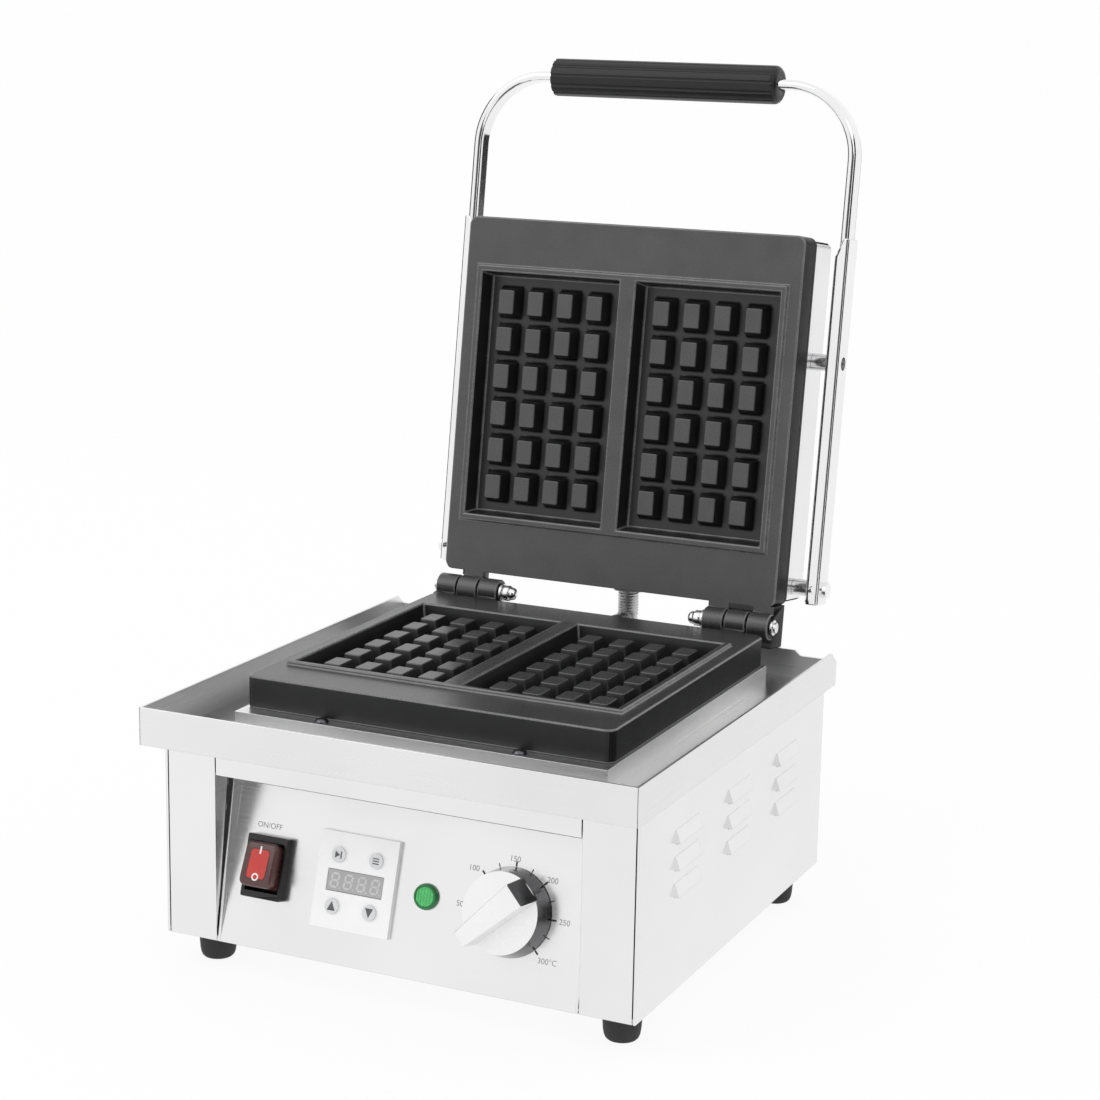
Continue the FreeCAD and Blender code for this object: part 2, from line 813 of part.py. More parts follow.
def heater_strips(middle_y, z):
    """Two flat strip heaters, one behind each cavity."""
    half = d.heater_length / 2
    strips = []
    for side in SIDES:
        middle_x = d.heater_pitch / 2 * side
        x = (middle_x - d.heater_width / 2, middle_x + d.heater_width / 2)
        strips.append(box(x, (middle_y - half, middle_y + half), (z, z + d.heater_thickness)))
    return group(*strips)


def make_heating():
    middle = (plate_front + plate_rear) / 2
    half_w, half_d = d.clamp_width / 2, d.clamp_depth / 2
    clamp_top = plinth_top - d.heater_thickness
    flat = ((-half_w, half_w), (middle - half_d, middle + half_d))
    sub_part("lower_heater", heater_strips(middle, clamp_top))
    sub_part("lower_heater_clamp", group(box(*flat, (clamp_top - d.clamp_sheet, clamp_top))))
    sub_part("insulation_board", group(box(*flat, (floor_z, floor_z + d.board_sheet))))
    lid_middle = (lid_front + lid_rear) / 2
    lid_flat = ((-half_w, half_w), (lid_middle - half_d, lid_middle + half_d))
    clamp_low = plate_back + d.heater_thickness
    sub_part("upper_heater", heater_strips(lid_middle, plate_back), LID)
    sub_part("upper_heater_clamp", group(box(*lid_flat, (clamp_low, clamp_low + d.clamp_sheet))), LID)


cover_screw_spots = [
    (side * (cover_half - d.gasket_width), y)
    for side in SIDES
    for y in (cover_front + d.gasket_width, cover_rear - d.gasket_width)
]


def make_lid():
    block = box((-plate_half, plate_half), (lid_front, lid_rear), (plate_back, gasket_back))
    window = box(
        (d.gasket_width - plate_half, plate_half - d.gasket_width),
        (lid_front + d.gasket_width, lid_rear - d.gasket_width), (plate_back - PAST, gasket_back + PAST),
    )
    sub_part("lid_gasket", cut(round_uprights(block, d.plate_corner), window), LID)
    s = d.cover_sheet
    outer = box((-cover_half, cover_half), (cover_front, cover_rear), (gasket_back, cover_back))
    inner = box(
        (s - cover_half, cover_half - s), (cover_front + s, cover_rear - s),
        (gasket_back - PAST, cover_back - s),
    )
    bolts = [
        pin(side, cover_half - s - PAST, cover_half + PAST, -reach, spacer_z, bolt_hole)
        for side in SIDES
        for reach in (d.spacer_lower, d.spacer_upper)
    ]
    entry_spot = (d.conduit_side, cover_rear - s - PAST, conduit_z)
    entry = rod(entry_spot, d.conduit_radius + d.seam, s + PAST * 2, "Y")
    screw_holes = [rod((x, y, cover_back - s - PAST), screw_hole, s + PAST * 2) for x, y in cover_screw_spots]
    shell = cut(round_uprights(outer, d.plate_corner), inner, entry, *bolts, *screw_holes)
    sub_part("lid_cover", shell, LID)
    sub_part("lid_cover_screws", group(*(screw(x, y, cover_back) for x, y in cover_screw_spots)), LID)


def make_arm(name, side):
    """A side arm with a sloped top end, a socket for the bar, a set-screw hole and a sink for one bolt."""
    x = mirrored(side, arm_inner, arm_outer)
    z = (spacer_z - d.arm_width / 2, spacer_z + d.arm_width / 2)
    straight = box(x, (-(d.arm_end - d.arm_slope), -d.arm_start), z)
    tip_near = mirrored(side, arm_inner, arm_outer)
    tip_far = mirrored(side, bar_middle, arm_outer)
    upside_down = f"{spot(axis=X_AXIS, angle=180)} * {spot(0, 0, -(z[0] + z[1]))}"
    slope = primitive(
        "Wedge",
        {
            "Xmin": tip_near[0], "Xmax": tip_near[1], "X2min": tip_far[0], "X2max": tip_far[1],
            "Zmin": z[0], "Zmax": z[1], "Z2min": z[0], "Z2max": z[1],
            "Ymin": 0, "Ymax": d.arm_slope,
        },
        f"{spot(0, -(d.arm_end - d.arm_slope), 0)} * {upside_down}",
    )
    socket = flat_oval(
        (side * bar_middle, -d.arm_end - PAST, spacer_z), d.socket_depth + PAST, "Y", d.hole_clearance
    )
    holes = [
        pin(side, arm_inner - PAST, arm_outer + PAST, -reach, spacer_z, bolt_hole)
        for reach in (d.spacer_lower, d.spacer_upper)
    ]
    set_screw = rod(
        ((x[0] + x[1]) / 2, -d.spacer_lower, z[0] - PAST), d.set_screw_radius, d.set_screw_depth + PAST
    )
    sink = pin(side, arm_outer - d.sink_depth, arm_outer + PAST, -d.spacer_upper, spacer_z, d.sink_radius)
    sub_part(name, cut(fuse(straight, slope), socket, set_screw, sink, *holes), LID)


def make_handle_bar():
    """A flat oval bar bent into a U in the lid's plane: two legs, two bends and the run through the grip."""
    half = d.bar_thickness / 2
    flat = (d.bar_width - d.bar_thickness) / 2
    leg_end = d.socket_depth - d.arm_end
    bend_y = d.bar_bend - d.handle_reach
    bend_x = bar_middle - d.bar_bend
    runs = [flat_oval((-bend_x, -d.handle_reach, spacer_z), bend_x * 2, "X")]
    for side, start in ((-1, 180), (1, 270)):
        runs.append(flat_oval((side * bar_middle, bend_y, spacer_z), leg_end - bend_y, "Y"))
        low = (side * bend_x, bend_y, spacer_z - flat)
        runs.append(quarter_band(low, d.bar_bend - half, d.bar_bend + half, flat * 2, start))
        for edge in SIDES:
            runs.append(bend((side * bend_x, bend_y, spacer_z + edge * flat), d.bar_bend, half, start, 90))
    sub_part("handle_bar", fuse(*runs), LID)


def make_handle():
    make_arm("handle_arm_left", -1)
    make_arm("handle_arm_right", 1)
    make_handle_bar()
    spacers, bolts, nuts = [], [], []
    nut_outer = cover_half - d.cover_sheet
    nut_inner = nut_outer - d.handle_nut_height
    heads = (
        (d.spacer_lower, arm_outer, d.handle_head_radius),
        (d.spacer_upper, arm_outer - d.sink_depth, d.sunk_head_radius),
    )
    for side in SIDES:
        for reach, seat, head_radius in heads:
            spacer = pin(side, cover_half, arm_inner, -reach, spacer_z, d.spacer_radius)
            bore = pin(side, cover_half - PAST, arm_inner + PAST, -reach, spacer_z, bolt_hole)
            spacers.append(cut(spacer, bore))
            shank = pin(side, nut_inner, seat + PAST, -reach, spacer_z, d.handle_bolt_radius)
            head = pin(side, seat, seat + d.handle_head_height, -reach, spacer_z, head_radius)
            bolts.append(fuse(shank, head))
            start = mirrored(side, nut_inner, nut_outer)[0]
            ring = hexagon((start, -reach, spacer_z), d.handle_nut_flats, d.handle_nut_height, "X")
            nuts.append(cut(ring, pin(side, nut_inner - PAST, nut_outer + PAST, -reach, spacer_z, bolt_hole)))
    sub_part("handle_spacers", group(*spacers), LID)
    sub_part("handle_bolts", group(*bolts), LID)
    sub_part("handle_nuts", group(*nuts), LID)
    half = d.grip_length / 2
    sleeve = doc.addObject("Part::Fillet", "rounded_sleeve")
    sleeve.Base = rod((-half, -d.handle_reach, spacer_z), d.grip_radius, d.grip_length, "X")
    sleeve.Edges = [(edge, d.grip_rounding.value, d.grip_rounding.value) for edge in (1, 3)]
    start, run = -half - PAST, d.grip_length + PAST * 2
    bore = flat_oval((start, -d.handle_reach, spacer_z), run, "X", d.hole_clearance)
    flutes = []
    flute_ring = d.grip_radius + d.flute_radius - d.flute_depth
    for number in range(GRIP_FLUTES):
        turn = math.tau * number / GRIP_FLUTES
        y = flute_ring * math.cos(turn) - d.handle_reach
        z = flute_ring * math.sin(turn) + spacer_z
        flutes.append(rod((start, y, z), d.flute_radius, run, "X"))
    sub_part("grip", cut(sleeve, bore, group(*flutes)), LID)


def make_conduit():
    """The conduit leaves the tray straight up and sways back in two arcs to the open lid's lower wall."""
    entry_y = hinge_y + cover_rear * open_cosine + conduit_z * open_sine
    entry_z = hinge_z - cover_rear * open_sine + conduit_z * open_cosine
    start_z = tray_z - d.gland_length
    rise_z = floor_z + d.gland_length
    run_y, run_z = entry_y - conduit_y, entry_z - d.gland_length - rise_z
    radius = (run_y * run_y + run_z * run_z) / (4 * run_y)
    sweep = 2 * arc_tangent(run_y / run_z)
    side_view = spot(d.conduit_side, axis=(1, 1, 1), angle=120)
    tube = d.conduit_radius
    runs = [
        rod((d.conduit_side, conduit_y, start_z), tube, rise_z - start_z),
        bend((conduit_y + radius, rise_z, 0), radius, tube, 180 - sweep, sweep, side_view),
        bend((entry_y - radius, rise_z + run_z, 0), radius, tube, -sweep, sweep, side_view),
        rod((d.conduit_side, entry_y, rise_z + run_z), tube, d.gland_length),
    ]
    sub_part("conduit", fuse(*runs))
    gap = d.conduit_radius + d.seam
    ring = rod((d.conduit_side, conduit_y, floor_z), gland_radius, d.gland_length)
    sub_part("conduit_gland_base", cut(ring, rod((d.conduit_side, conduit_y, tray_z), gap, d.housing_height)))
    collar = rod((d.conduit_side, cover_rear, conduit_z), gland_radius, d.gland_length, "Y")
    hole_radius = d.conduit_radius + d.gland_play
    hole = rod((d.conduit_side, cover_rear - PAST, conduit_z), hole_radius, d.gland_length + PAST * 2, "Y")
    sub_part("conduit_gland_lid", cut(collar, hole), LID)


def make_switch():
    x, y = at_panel(d.switch_side)
    half, tall = switch_body_half + d.switch_flange, switch_body_tall + d.switch_flange
    frame = box((x - half, x + half), (y - tall, y + tall), (0, d.switch_stand))
    body = box(
        (x - switch_body_half, x + switch_body_half), (y - switch_body_tall, y + switch_body_tall),
        (-d.switch_body_depth, PAST),
    )
    floor = d.rocker_pivot - rocker_reach - d.rocker_gap
    well = box((x - well_half, x + well_half), (y - well_tall, y + well_tall), (floor, d.switch_stand + PAST))
    reach = d.rocker_width / 2 + d.rocker_pin_length
    socket_reach = reach + d.seam
    socket_radius = d.rocker_pin_radius + d.pin_clearance
    socket = rod((x - socket_reach, y, d.rocker_pivot), socket_radius, socket_reach * 2, "X")
    sub_part("switch_frame", cut(fuse(round_uprights(frame, d.switch_corner), body), well, socket), PANEL)
    wide, long = d.rocker_width / 2, d.rocker_length / 2
    cap = box((-wide, wide), (-long, long), (d.rocker_step, d.rocker_rise))
    drum = rod((-wide, 0, 0), long, d.rocker_width, "X")
    slab = box((-wide, wide), (-long, long), (-d.rocker_root, d.rocker_step + PAST))
    axle = rod((-reach, 0, 0), d.rocker_pin_radius, reach * 2, "X")
    tilt = spot(x, y, d.rocker_pivot, X_AXIS, -d.rocker_angle)
    rocker = fuse(round_uprights(cap, d.rocker_rounding), common(drum, slab), axle)
    sub_part("rocker", rocker, f"{PANEL} * {tilt}")


button_spots = {
    "button_start": (-1, 1), "button_mode": (1, 1), "button_up": (-1, -1), "button_down": (1, -1),
}


def button_spot(name):
    across, along = button_spots[name]
    x, y = at_panel(d.timer_side, d.button_along / 2 * along)
    return x + d.button_across / 2 * across, y


def make_timer():
    x, y = at_panel(d.timer_side)
    half, tall = d.timer_width / 2, d.timer_length / 2
    face = box((x - half, x + half), (y - tall, y + tall), (0, d.timer_face))
    wide, high = d.display_width / 2, d.display_length / 2
    edge_x, edge_y = wide + d.seam, high + d.seam
    window = box((x - edge_x, x + edge_x), (y - edge_y, y + edge_y), (-PAST, d.timer_face + PAST))
    holes = [
        rod((*button_spot(name), -PAST), d.button_radius + d.button_gap, d.timer_face + PAST * 2)
        for name in button_spots
    ]
    sub_part("timer_fascia", cut(face, window, *holes), PANEL)
    half, tall = half - d.timer_rim, tall - d.timer_rim
    wall = d.timer_wall
    shell = box((x - half, x + half), (y - tall, y + tall), (-d.timer_case_depth, 0))
    inside = box(
        (x - half + wall, x + half - wall), (y - tall + wall, y + tall - wall),
        (wall - d.timer_case_depth, PAST),
    )
    sub_part("timer_case", cut(shell, inside), PANEL)
    fit = wall + d.seam
    board = box(
        (x - half + fit, x + half - fit), (y - tall + fit, y + tall - fit),
        (-d.board_depth - wall, -d.board_depth),
    )
    sub_part("timer_board", group(board), PANEL)
    glass = box((x - wide, x + wide), (y - high, y + high), (-d.board_depth, d.timer_face - d.seam))
    sub_part("timer_display", group(glass), PANEL)
    keys = []
    size = d.key_size / 2
    button_back = -d.button_flange - d.seam
    key_top = button_back - d.button_travel - d.seam
    for name in button_spots:
        kx, ky = button_spot(name)
        keys.append(box((kx - size, kx + size), (ky - size, ky + size), (-d.board_depth, key_top)))
        cap = rod((kx, ky, button_back), d.button_radius, d.timer_face + d.button_stand - button_back)
        flange = rod((kx, ky, button_back), d.button_radius + d.button_flange, d.button_flange)
        sub_part(name, fuse(cap, flange), PANEL)
    sub_part("timer_keys", group(*keys), PANEL)


def make_lamp():
    x, y = at_panel(d.lamp_side)
    lens = cone((x, y, 0), d.lamp_radius, d.lamp_crown_radius, d.lamp_stand)
    stem = rod((x, y, -d.lamp_body_depth), d.lamp_body_radius, d.lamp_body_depth)
    sub_part("lamp_lens", group(lens), PANEL)
    sub_part("lamp_body", group(stem), PANEL)


def make_dial():
    x, y = at_panel(d.dial_side)
    s = d.housing_sheet
    half = d.thermostat_size / 2
    case = box((x - half, x + half), (y - half, y + half), (-s - d.thermostat_depth, -s))
    bush = rod((x, y, -s * 2), d.bush_radius, s * 2)
    bore = rod((x, y, -s - d.thermostat_depth / 2), d.shaft_radius + d.shaft_clearance, d.thermostat_depth)
    sub_part("thermostat", cut(fuse(case, bush), bore), PANEL)
    low = d.knob_gap
    top = low + d.knob_height
    roof = top - d.knob_wall
    shaft_start = -s - d.thermostat_depth / 2 + d.seam
    shaft = rod((x, y, shaft_start), d.shaft_radius, roof - d.seam - shaft_start)
    sub_part("thermostat_shaft", group(shaft), PANEL)
    skirt = cone((0, 0, low), d.knob_foot_radius, d.knob_radius, d.knob_height)
    hollow = rod((0, 0, low - PAST), d.knob_radius - d.knob_wall, d.knob_height - d.knob_wall + PAST)
    hub = rod((0, 0, low), d.knob_hub_radius, d.knob_height - PAST)
    socket = rod((0, 0, low - PAST), d.shaft_radius + d.shaft_clearance, d.knob_height - d.knob_wall + PAST)
    knob = cut(fuse(cut(skirt, hollow), hub, pointer(top)), socket)
    sub_part("knob", knob, f"{PANEL} * {spot(x, y, 0, angle=d.knob_rest_angle)}")


def pointer(low):
    """The knob's grip: a ridge that narrows towards the end that points, with a sloped tail."""
    span = (-d.knob_radius, d.pointer_reach)
    profile = wedge(
        ((-d.knob_radius, d.knob_radius), (-d.knob_radius, d.knob_radius)),
        ((-d.pointer_tail_reach, d.pointer_reach), (-d.knob_radius, d.knob_radius)),
        (low - PAST, low + d.pointer_height),
    )
    tail, tip = d.pointer_tail_width / 2, d.pointer_width / 2
    plan = primitive(
        "Wedge",
        {
            "Xmin": -tail, "Xmax": tail, "X2min": -tip, "X2max": tip, "Ymin": span[0], "Ymax": span[1],
            "Zmin": low - PAST, "Zmax": low + d.pointer_height,
            "Z2min": low - PAST, "Z2max": low + d.pointer_height,
        },
        spot(angle=-90),
    )
    return common(profile, plan)


def make_terminal_block():
    half = d.terminal_width / 2
    rear = housing_rear - d.housing_sheet - d.terminal_depth
    low = base_z + d.housing_sheet
    block = box((-half, half), (rear - d.terminal_depth, rear), (low, low + d.terminal_height))
    pitch_x = d.terminal_width / d.terminal_ways
    holes = [
        rod(
            (pitch_x * (way - (SIZES["terminal_ways"] - 1) / 2), rear - d.terminal_depth - PAST,
             low + d.terminal_height / 2),
            d.terminal_hole_radius, d.terminal_depth + PAST * 2, "Y",
        )
        for way in range(SIZES["terminal_ways"])
    ]
    sub_part("terminal_block", cut(block, *holes))


def make_cord_inlet():
    x, z = d.inlet_side, base_z + d.inlet_rise
    inside = housing_rear - d.housing_sheet - d.inlet_flange
    sleeve = rod((x, inside, z), d.inlet_radius, d.inlet_flange + d.housing_sheet + d.inlet_stand, "Y")
    flange = rod((x, housing_rear, z), d.inlet_flange_radius, d.inlet_flange, "Y")
    bore = rod((x, inside - PAST, z), d.inlet_bore_radius, d.tray_depth, "Y")
    sub_part("cord_gland", cut(fuse(sleeve, flange), bore))


make_feet()
make_bottom_plate()
make_housing()
make_column("column_left", -1)
make_column("column_right", 1)
make_control_panel()
make_tray()
make_plinth()
make_casting("lower_plate", LOWER_CASTING, tail=False)
make_casting("upper_plate", UPPER_CASTING, tail=True)
make_hinge_hardware()
make_heating()
make_lid()
make_handle()
make_conduit()
make_switch()
make_timer()
make_lamp()
make_dial()
make_terminal_block()
make_cord_inlet()
doc.recompute()

failed = [thing.Name for thing in doc.Objects if {"Invalid", "Error"} & set(thing.State)]
failed += [thing.Label for thing in sub_parts if thing.Shape.isNull() or not thing.Shape.isValid()]
if failed:
    raise RuntimeError(f"these did not build: {failed}")

os.makedirs("parts", exist_ok=True)
for thing in sub_parts:
    thing.Shape.exportStep(f"parts/{thing.Label}.step")
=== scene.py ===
import json
import math

import bmesh
import bpy
from mathutils import Matrix, Vector


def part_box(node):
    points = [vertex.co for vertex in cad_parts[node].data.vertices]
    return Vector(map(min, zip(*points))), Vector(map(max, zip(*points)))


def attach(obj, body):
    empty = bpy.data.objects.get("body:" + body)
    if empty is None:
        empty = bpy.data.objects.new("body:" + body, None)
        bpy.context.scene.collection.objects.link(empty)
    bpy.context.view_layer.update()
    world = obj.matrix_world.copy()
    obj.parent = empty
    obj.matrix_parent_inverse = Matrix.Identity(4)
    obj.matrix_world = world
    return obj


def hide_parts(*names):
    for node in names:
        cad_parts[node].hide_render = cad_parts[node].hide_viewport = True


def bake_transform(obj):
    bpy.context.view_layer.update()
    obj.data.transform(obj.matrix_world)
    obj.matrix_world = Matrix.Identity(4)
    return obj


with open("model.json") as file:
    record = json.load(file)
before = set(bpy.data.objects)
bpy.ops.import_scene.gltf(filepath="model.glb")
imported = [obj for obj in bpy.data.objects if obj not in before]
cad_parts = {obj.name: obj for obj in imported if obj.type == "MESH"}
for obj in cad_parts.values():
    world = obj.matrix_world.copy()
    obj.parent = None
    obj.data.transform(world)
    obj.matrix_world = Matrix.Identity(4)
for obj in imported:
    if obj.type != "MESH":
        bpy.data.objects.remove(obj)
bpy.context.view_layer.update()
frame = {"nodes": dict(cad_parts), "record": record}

# A twin waffle maker with its lid open: softened sheet metal, cast plates, controls and printed marks.
# Lengths in this file are millimetres until scaled by MM.

MM = 0.001
scene = bpy.context.scene
record = frame["record"]
BODY = {node: body for body, nodes in record["behaviour"]["bodies"].items() for node in nodes}
SLOT = {part["node"]: part["material_slot"] for part in record["subparts"]}

# The control panel's plane: its lower front edge and its lean
PANEL_TILT = math.radians(16.5)
PANEL_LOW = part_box("control_panel")[0]
CONTROL_HEIGHT = 49
SWITCH_X, TIMER_X, LAMP_X, DIAL_X = -91, -31, 15.3, 69
LID_HINGE = next(joint for joint in record["behaviour"]["joints"] if joint["name"] == "lid_hinge")
HINGE = Vector(LID_HINGE["pos_m"])
LID_OPEN = math.radians(LID_HINGE["range_deg"][1])
AT_PIN = Matrix.Translation(HINGE)
AT_LID = AT_PIN @ Matrix.Rotation(-LID_OPEN, 4, "X")


def panel_matrix(x, up, out=0, lean=0):
    """A frame on the panel: X to the right, Y up the slope, Z out of it, leaned about X."""
    stand = Matrix.Rotation(math.pi / 2 - PANEL_TILT, 4, "X")
    origin = Matrix.Translation((0, PANEL_LOW.y, PANEL_LOW.z))
    spot = Matrix.Translation(Vector((x, up, out)) * MM)
    return origin @ stand @ spot @ Matrix.Rotation(lean, 4, "X")


# Materials

# Where most of a noise's values lie
NOISE_LOW, NOISE_HIGH = 0.3, 0.7


def link(tree, source, target):
    tree.links.new(source, target)


def noise(tree, scale, detail=3.0):
    """Solid noise over the object's own coordinates, with a scale for each axis, in waves a metre."""
    coordinates = tree.nodes.new("ShaderNodeTexCoord")
    mapping = tree.nodes.new("ShaderNodeMapping")
    mapping.inputs["Scale"].default_value = scale
    texture = tree.nodes.new("ShaderNodeTexNoise")
    texture.inputs["Scale"].default_value = 1.0
    texture.inputs["Detail"].default_value = detail
    link(tree, coordinates.outputs["Object"], mapping.inputs["Vector"])
    link(tree, mapping.outputs["Vector"], texture.inputs["Vector"])
    return texture.outputs["Fac"]


def spread(tree, value, low, high):
    """A noise value stretched to run from low to high."""
    ranged = tree.nodes.new("ShaderNodeMapRange")
    ranged.inputs["From Min"].default_value = NOISE_LOW
    ranged.inputs["From Max"].default_value = NOISE_HIGH
    ranged.inputs["To Min"].default_value = low
    ranged.inputs["To Max"].default_value = high
    link(tree, value, ranged.inputs["Value"])
    return ranged.outputs["Result"]


def mixed_colour(tree, factor, first, second):
    mix = tree.nodes.new("ShaderNodeMix")
    mix.data_type = "RGBA"
    mix.inputs["A"].default_value = (*first, 1)
    mix.inputs["B"].default_value = (*second, 1)
    link(tree, factor, mix.inputs["Factor"])
    return mix.outputs["Result"]


def scaled(colour, factor):
    return tuple(min(1.0, part * factor) for part in colour)


def surface(name, colour, rough, metal=0.0, mottle=0.06, patch=40, grain=(900, 900, 900), depth=0.02,
            rough_by=0.05, edge=0.0, **more):
    """A solid finish: a mottled colour, uneven roughness, a fine grain and, with edge, rounded edges."""
    material = bpy.data.materials.new(name)
    material.use_nodes = True
    tree = material.node_tree
    shader = tree.nodes["Principled BSDF"]
    shader.inputs["Metallic"].default_value = metal
    for socket, value in more.items():
        shader.inputs[socket.replace("_", " ").title().replace("Ior", "IOR")].default_value = value
    cloud = noise(tree, (patch, patch, patch))
    factor = spread(tree, cloud, 0, 1)
    tint = mixed_colour(tree, factor, scaled(colour, 1 - mottle), scaled(colour, 1 + mottle))
    link(tree, tint, shader.inputs["Base Color"])
    fine = noise(tree, grain, detail=2.0)
    link(tree, spread(tree, fine, rough - rough_by, rough + rough_by), shader.inputs["Roughness"])
    bump = tree.nodes.new("ShaderNodeBump")
    bump.inputs["Strength"].default_value = 1.0
    bump.inputs["Distance"].default_value = depth * MM
    link(tree, fine, bump.inputs["Height"])
    link(tree, bump.outputs["Normal"], shader.inputs["Normal"])
    if edge:
        rounded = tree.nodes.new("ShaderNodeBevel")
        rounded.inputs["Radius"].default_value = edge * MM
        link(tree, rounded.outputs["Normal"], bump.inputs["Normal"])
    return material


BRUSHED = (14, 14, 1100)
SPECKLED = (1300, 1300, 1300)
steel = surface("brushed_steel", (0.84, 0.84, 0.84), 0.24, metal=1.0, mottle=0.03, patch=9, grain=BRUSHED,
                depth=0.0003, rough_by=0.03, edge=0.5)
tray_steel = surface("tray_steel", (0.82, 0.82, 0.82), 0.30, metal=1.0, mottle=0.03, patch=9,
                     grain=BRUSHED, depth=0.0003, rough_by=0.03, edge=0.5)
arm_steel = surface("polished_steel", (0.86, 0.86, 0.86), 0.12, metal=1.0, mottle=0.03, patch=12,
                    grain=BRUSHED, depth=0.0002, rough_by=0.03)
coated = surface("coated_casting", (0.010, 0.010, 0.011), 0.36, mottle=0.2, patch=55, grain=SPECKLED,
                 depth=0.03, rough_by=0.06, edge=0.7, specular_ior_level=0.6)
# A lighter, glossier copy of the plate coating for the faces that stand up: painted highlight
painted_highlight_coat = surface("painted_highlight_coating", (0.029, 0.029, 0.030), 0.31, mottle=0.2, patch=55, grain=SPECKLED,
                    depth=0.03, rough_by=0.06, edge=0.7, specular_ior_level=0.9)
# A darker, duller copy of the plate coating for the plates' sides: painted shade
shaded_side_coat = surface("casting_side_painted_shade", (0.008, 0.008, 0.009), 0.40, mottle=0.2, patch=55, grain=SPECKLED,
                    depth=0.03, rough_by=0.06, edge=0.7, specular_ior_level=0.1)
# A light coat for the plates' rounded edges: painted highlight
painted_edge_highlight = surface("painted_edge_highlight", (0.11, 0.11, 0.11), 0.28, mottle=0.2, patch=120, grain=SPECKLED,
                    depth=0.01, specular_ior_level=0.9)
chrome = surface("polished_chrome", (0.86, 0.86, 0.87), 0.10, metal=1.0, mottle=0.02, patch=30,
                 grain=(30, 30, 30), depth=0.0, rough_by=0.03)
hardware = surface("bright_zinc", (0.72, 0.72, 0.73), 0.22, metal=1.0, mottle=0.05, patch=120,
                   grain=(700, 700, 700), depth=0.005)
screw_steel = surface("dark_screw", (0.14, 0.14, 0.15), 0.26, metal=1.0, mottle=0.05, patch=120,
                      grain=(700, 700, 700), depth=0.003)
heater_skin = surface("heater_sheath", (0.22, 0.21, 0.20), 0.45, metal=0.9, mottle=0.15, patch=50,
                      grain=SPECKLED)
fibre = surface("mineral_fibre", (0.72, 0.70, 0.65), 0.9, mottle=0.1, patch=200, grain=(600, 600, 90),
                depth=0.1)
grip_black = surface("satin_black", (0.006, 0.006, 0.007), 0.36, mottle=0.15, patch=60, grain=SPECKLED,
                     depth=0.01, specular_ior_level=0.42)
gloss_black = surface("gloss_black", (0.009, 0.009, 0.009), 0.22, mottle=0.12, patch=80,
                      grain=(500, 500, 500), depth=0.005)
rubber = surface("matt_rubber", (0.022, 0.022, 0.022), 0.7, mottle=0.2, patch=90, grain=SPECKLED,
                 depth=0.06)
film = surface("white_film", (0.90, 0.90, 0.90), 0.34, mottle=0.02, depth=0.006)
key_film = surface("key_film", (0.68, 0.69, 0.70), 0.36, mottle=0.03, patch=120, depth=0.006)
circuit = surface("circuit_board", (0.03, 0.14, 0.07), 0.4, mottle=0.2, patch=150, grain=(300, 300, 300))
smoked = surface("smoked_window", (0.40, 0.40, 0.40), 0.16, mottle=0.05, patch=60, grain=(400, 400, 400),
                 depth=0.002)
segment = surface("segment_off", (0.55, 0.55, 0.55), 0.3, mottle=0.05, patch=120, grain=(400, 400, 400),
                  depth=0.004)
maroon = surface("rocker_border", (0.075, 0.026, 0.024), 0.24, mottle=0.08, patch=60,
                 grain=(300, 300, 300), depth=0.001, coat_weight=0.3)
red_window = surface("rocker_window", (0.55, 0.042, 0.034), 0.26, patch=60, grain=(260, 260, 260),
                     depth=0.001)
window_edge = surface("window_edge", (0.030, 0.010, 0.010), 0.35, mottle=0.08, patch=60,
                      grain=(260, 260, 260), depth=0.001)
white_print = surface("white_print", (0.85, 0.83, 0.82), 0.5, mottle=0.04, patch=200, depth=0.004)
grey_print = surface("grey_print", (0.30, 0.30, 0.30), 0.55, mottle=0.15, patch=900,
                     grain=(1500, 1500, 1500), depth=0.004)
black_print = surface("black_print", (0.020, 0.020, 0.020), 0.5, mottle=0.15, patch=500, depth=0.004)
symbol_print = surface("symbol_print", (0.10, 0.10, 0.10), 0.5, mottle=0.15, patch=500, depth=0.004)
green_rim = surface("green_rim", (0.015, 0.16, 0.045), 0.2, mottle=0.15, patch=200, grain=(400, 400, 400),
                    depth=0.004)
green_lens = surface("green_lens", (0.08, 0.52, 0.15), 0.18, mottle=0.2, patch=400, grain=(300, 300, 300),
                     depth=0.004, coat_weight=0.4)
satin_silver = surface("satin_silver", (0.90, 0.90, 0.90), 0.32, metal=1.0, mottle=0.02, patch=25,
                       grain=(500, 500, 500), depth=0.002)
# Polished chrome made dark in its colour: a painted dark reflection on the knob's skirt and tail wall
knob_chrome_painted_dark = surface("knob_chrome_painted_dark", (0.15, 0.15, 0.155), 0.12, metal=1.0, mottle=0.04, patch=60,
                      grain=(60, 60, 300), depth=0.0, rough_by=0.02)
ribbed_metal = surface("ribbed_metal", (0.55, 0.55, 0.55), 0.3, metal=1.0, mottle=0.1, patch=200,
                       depth=0.005)
gland_grey = surface("gland_grey", (0.30, 0.30, 0.30), 0.4, mottle=0.1, patch=90, grain=SPECKLED,
                     depth=0.01)
gasket_black = surface("gasket", (0.03, 0.03, 0.03), 0.65, mottle=0.2, patch=90, grain=SPECKLED,
                       depth=0.04)

FINISH = {
    "steel": steel, "coated": coated, "bright": chrome, "hardware": hardware, "heater": heater_skin,
    "board": fibre, "black": gloss_black, "rubber": rubber, "white": film, "display": smoked, "red": maroon,
    "green": green_rim, "silver": satin_silver, "circuit": circuit, "sleeve": ribbed_metal,
    "gasket": gasket_black,
}


# Pieces

# An edge past BENT is rounded if it is ROOMY widths long and ends in no corner under NARROW
BENT, NARROW, ROOMY = math.radians(30), math.radians(50), 2.5
SAME_PLACE, SAME_PLANE = 0.01, math.radians(1)
# The least part of a normal along an axis for a face that lies square to it
SQUARE = 0.99
ROUND_STEPS, SMALL_ROUND_STEPS = 3, 2
LETTER_SIZE, LETTER_HALF = 4.7, 0.03


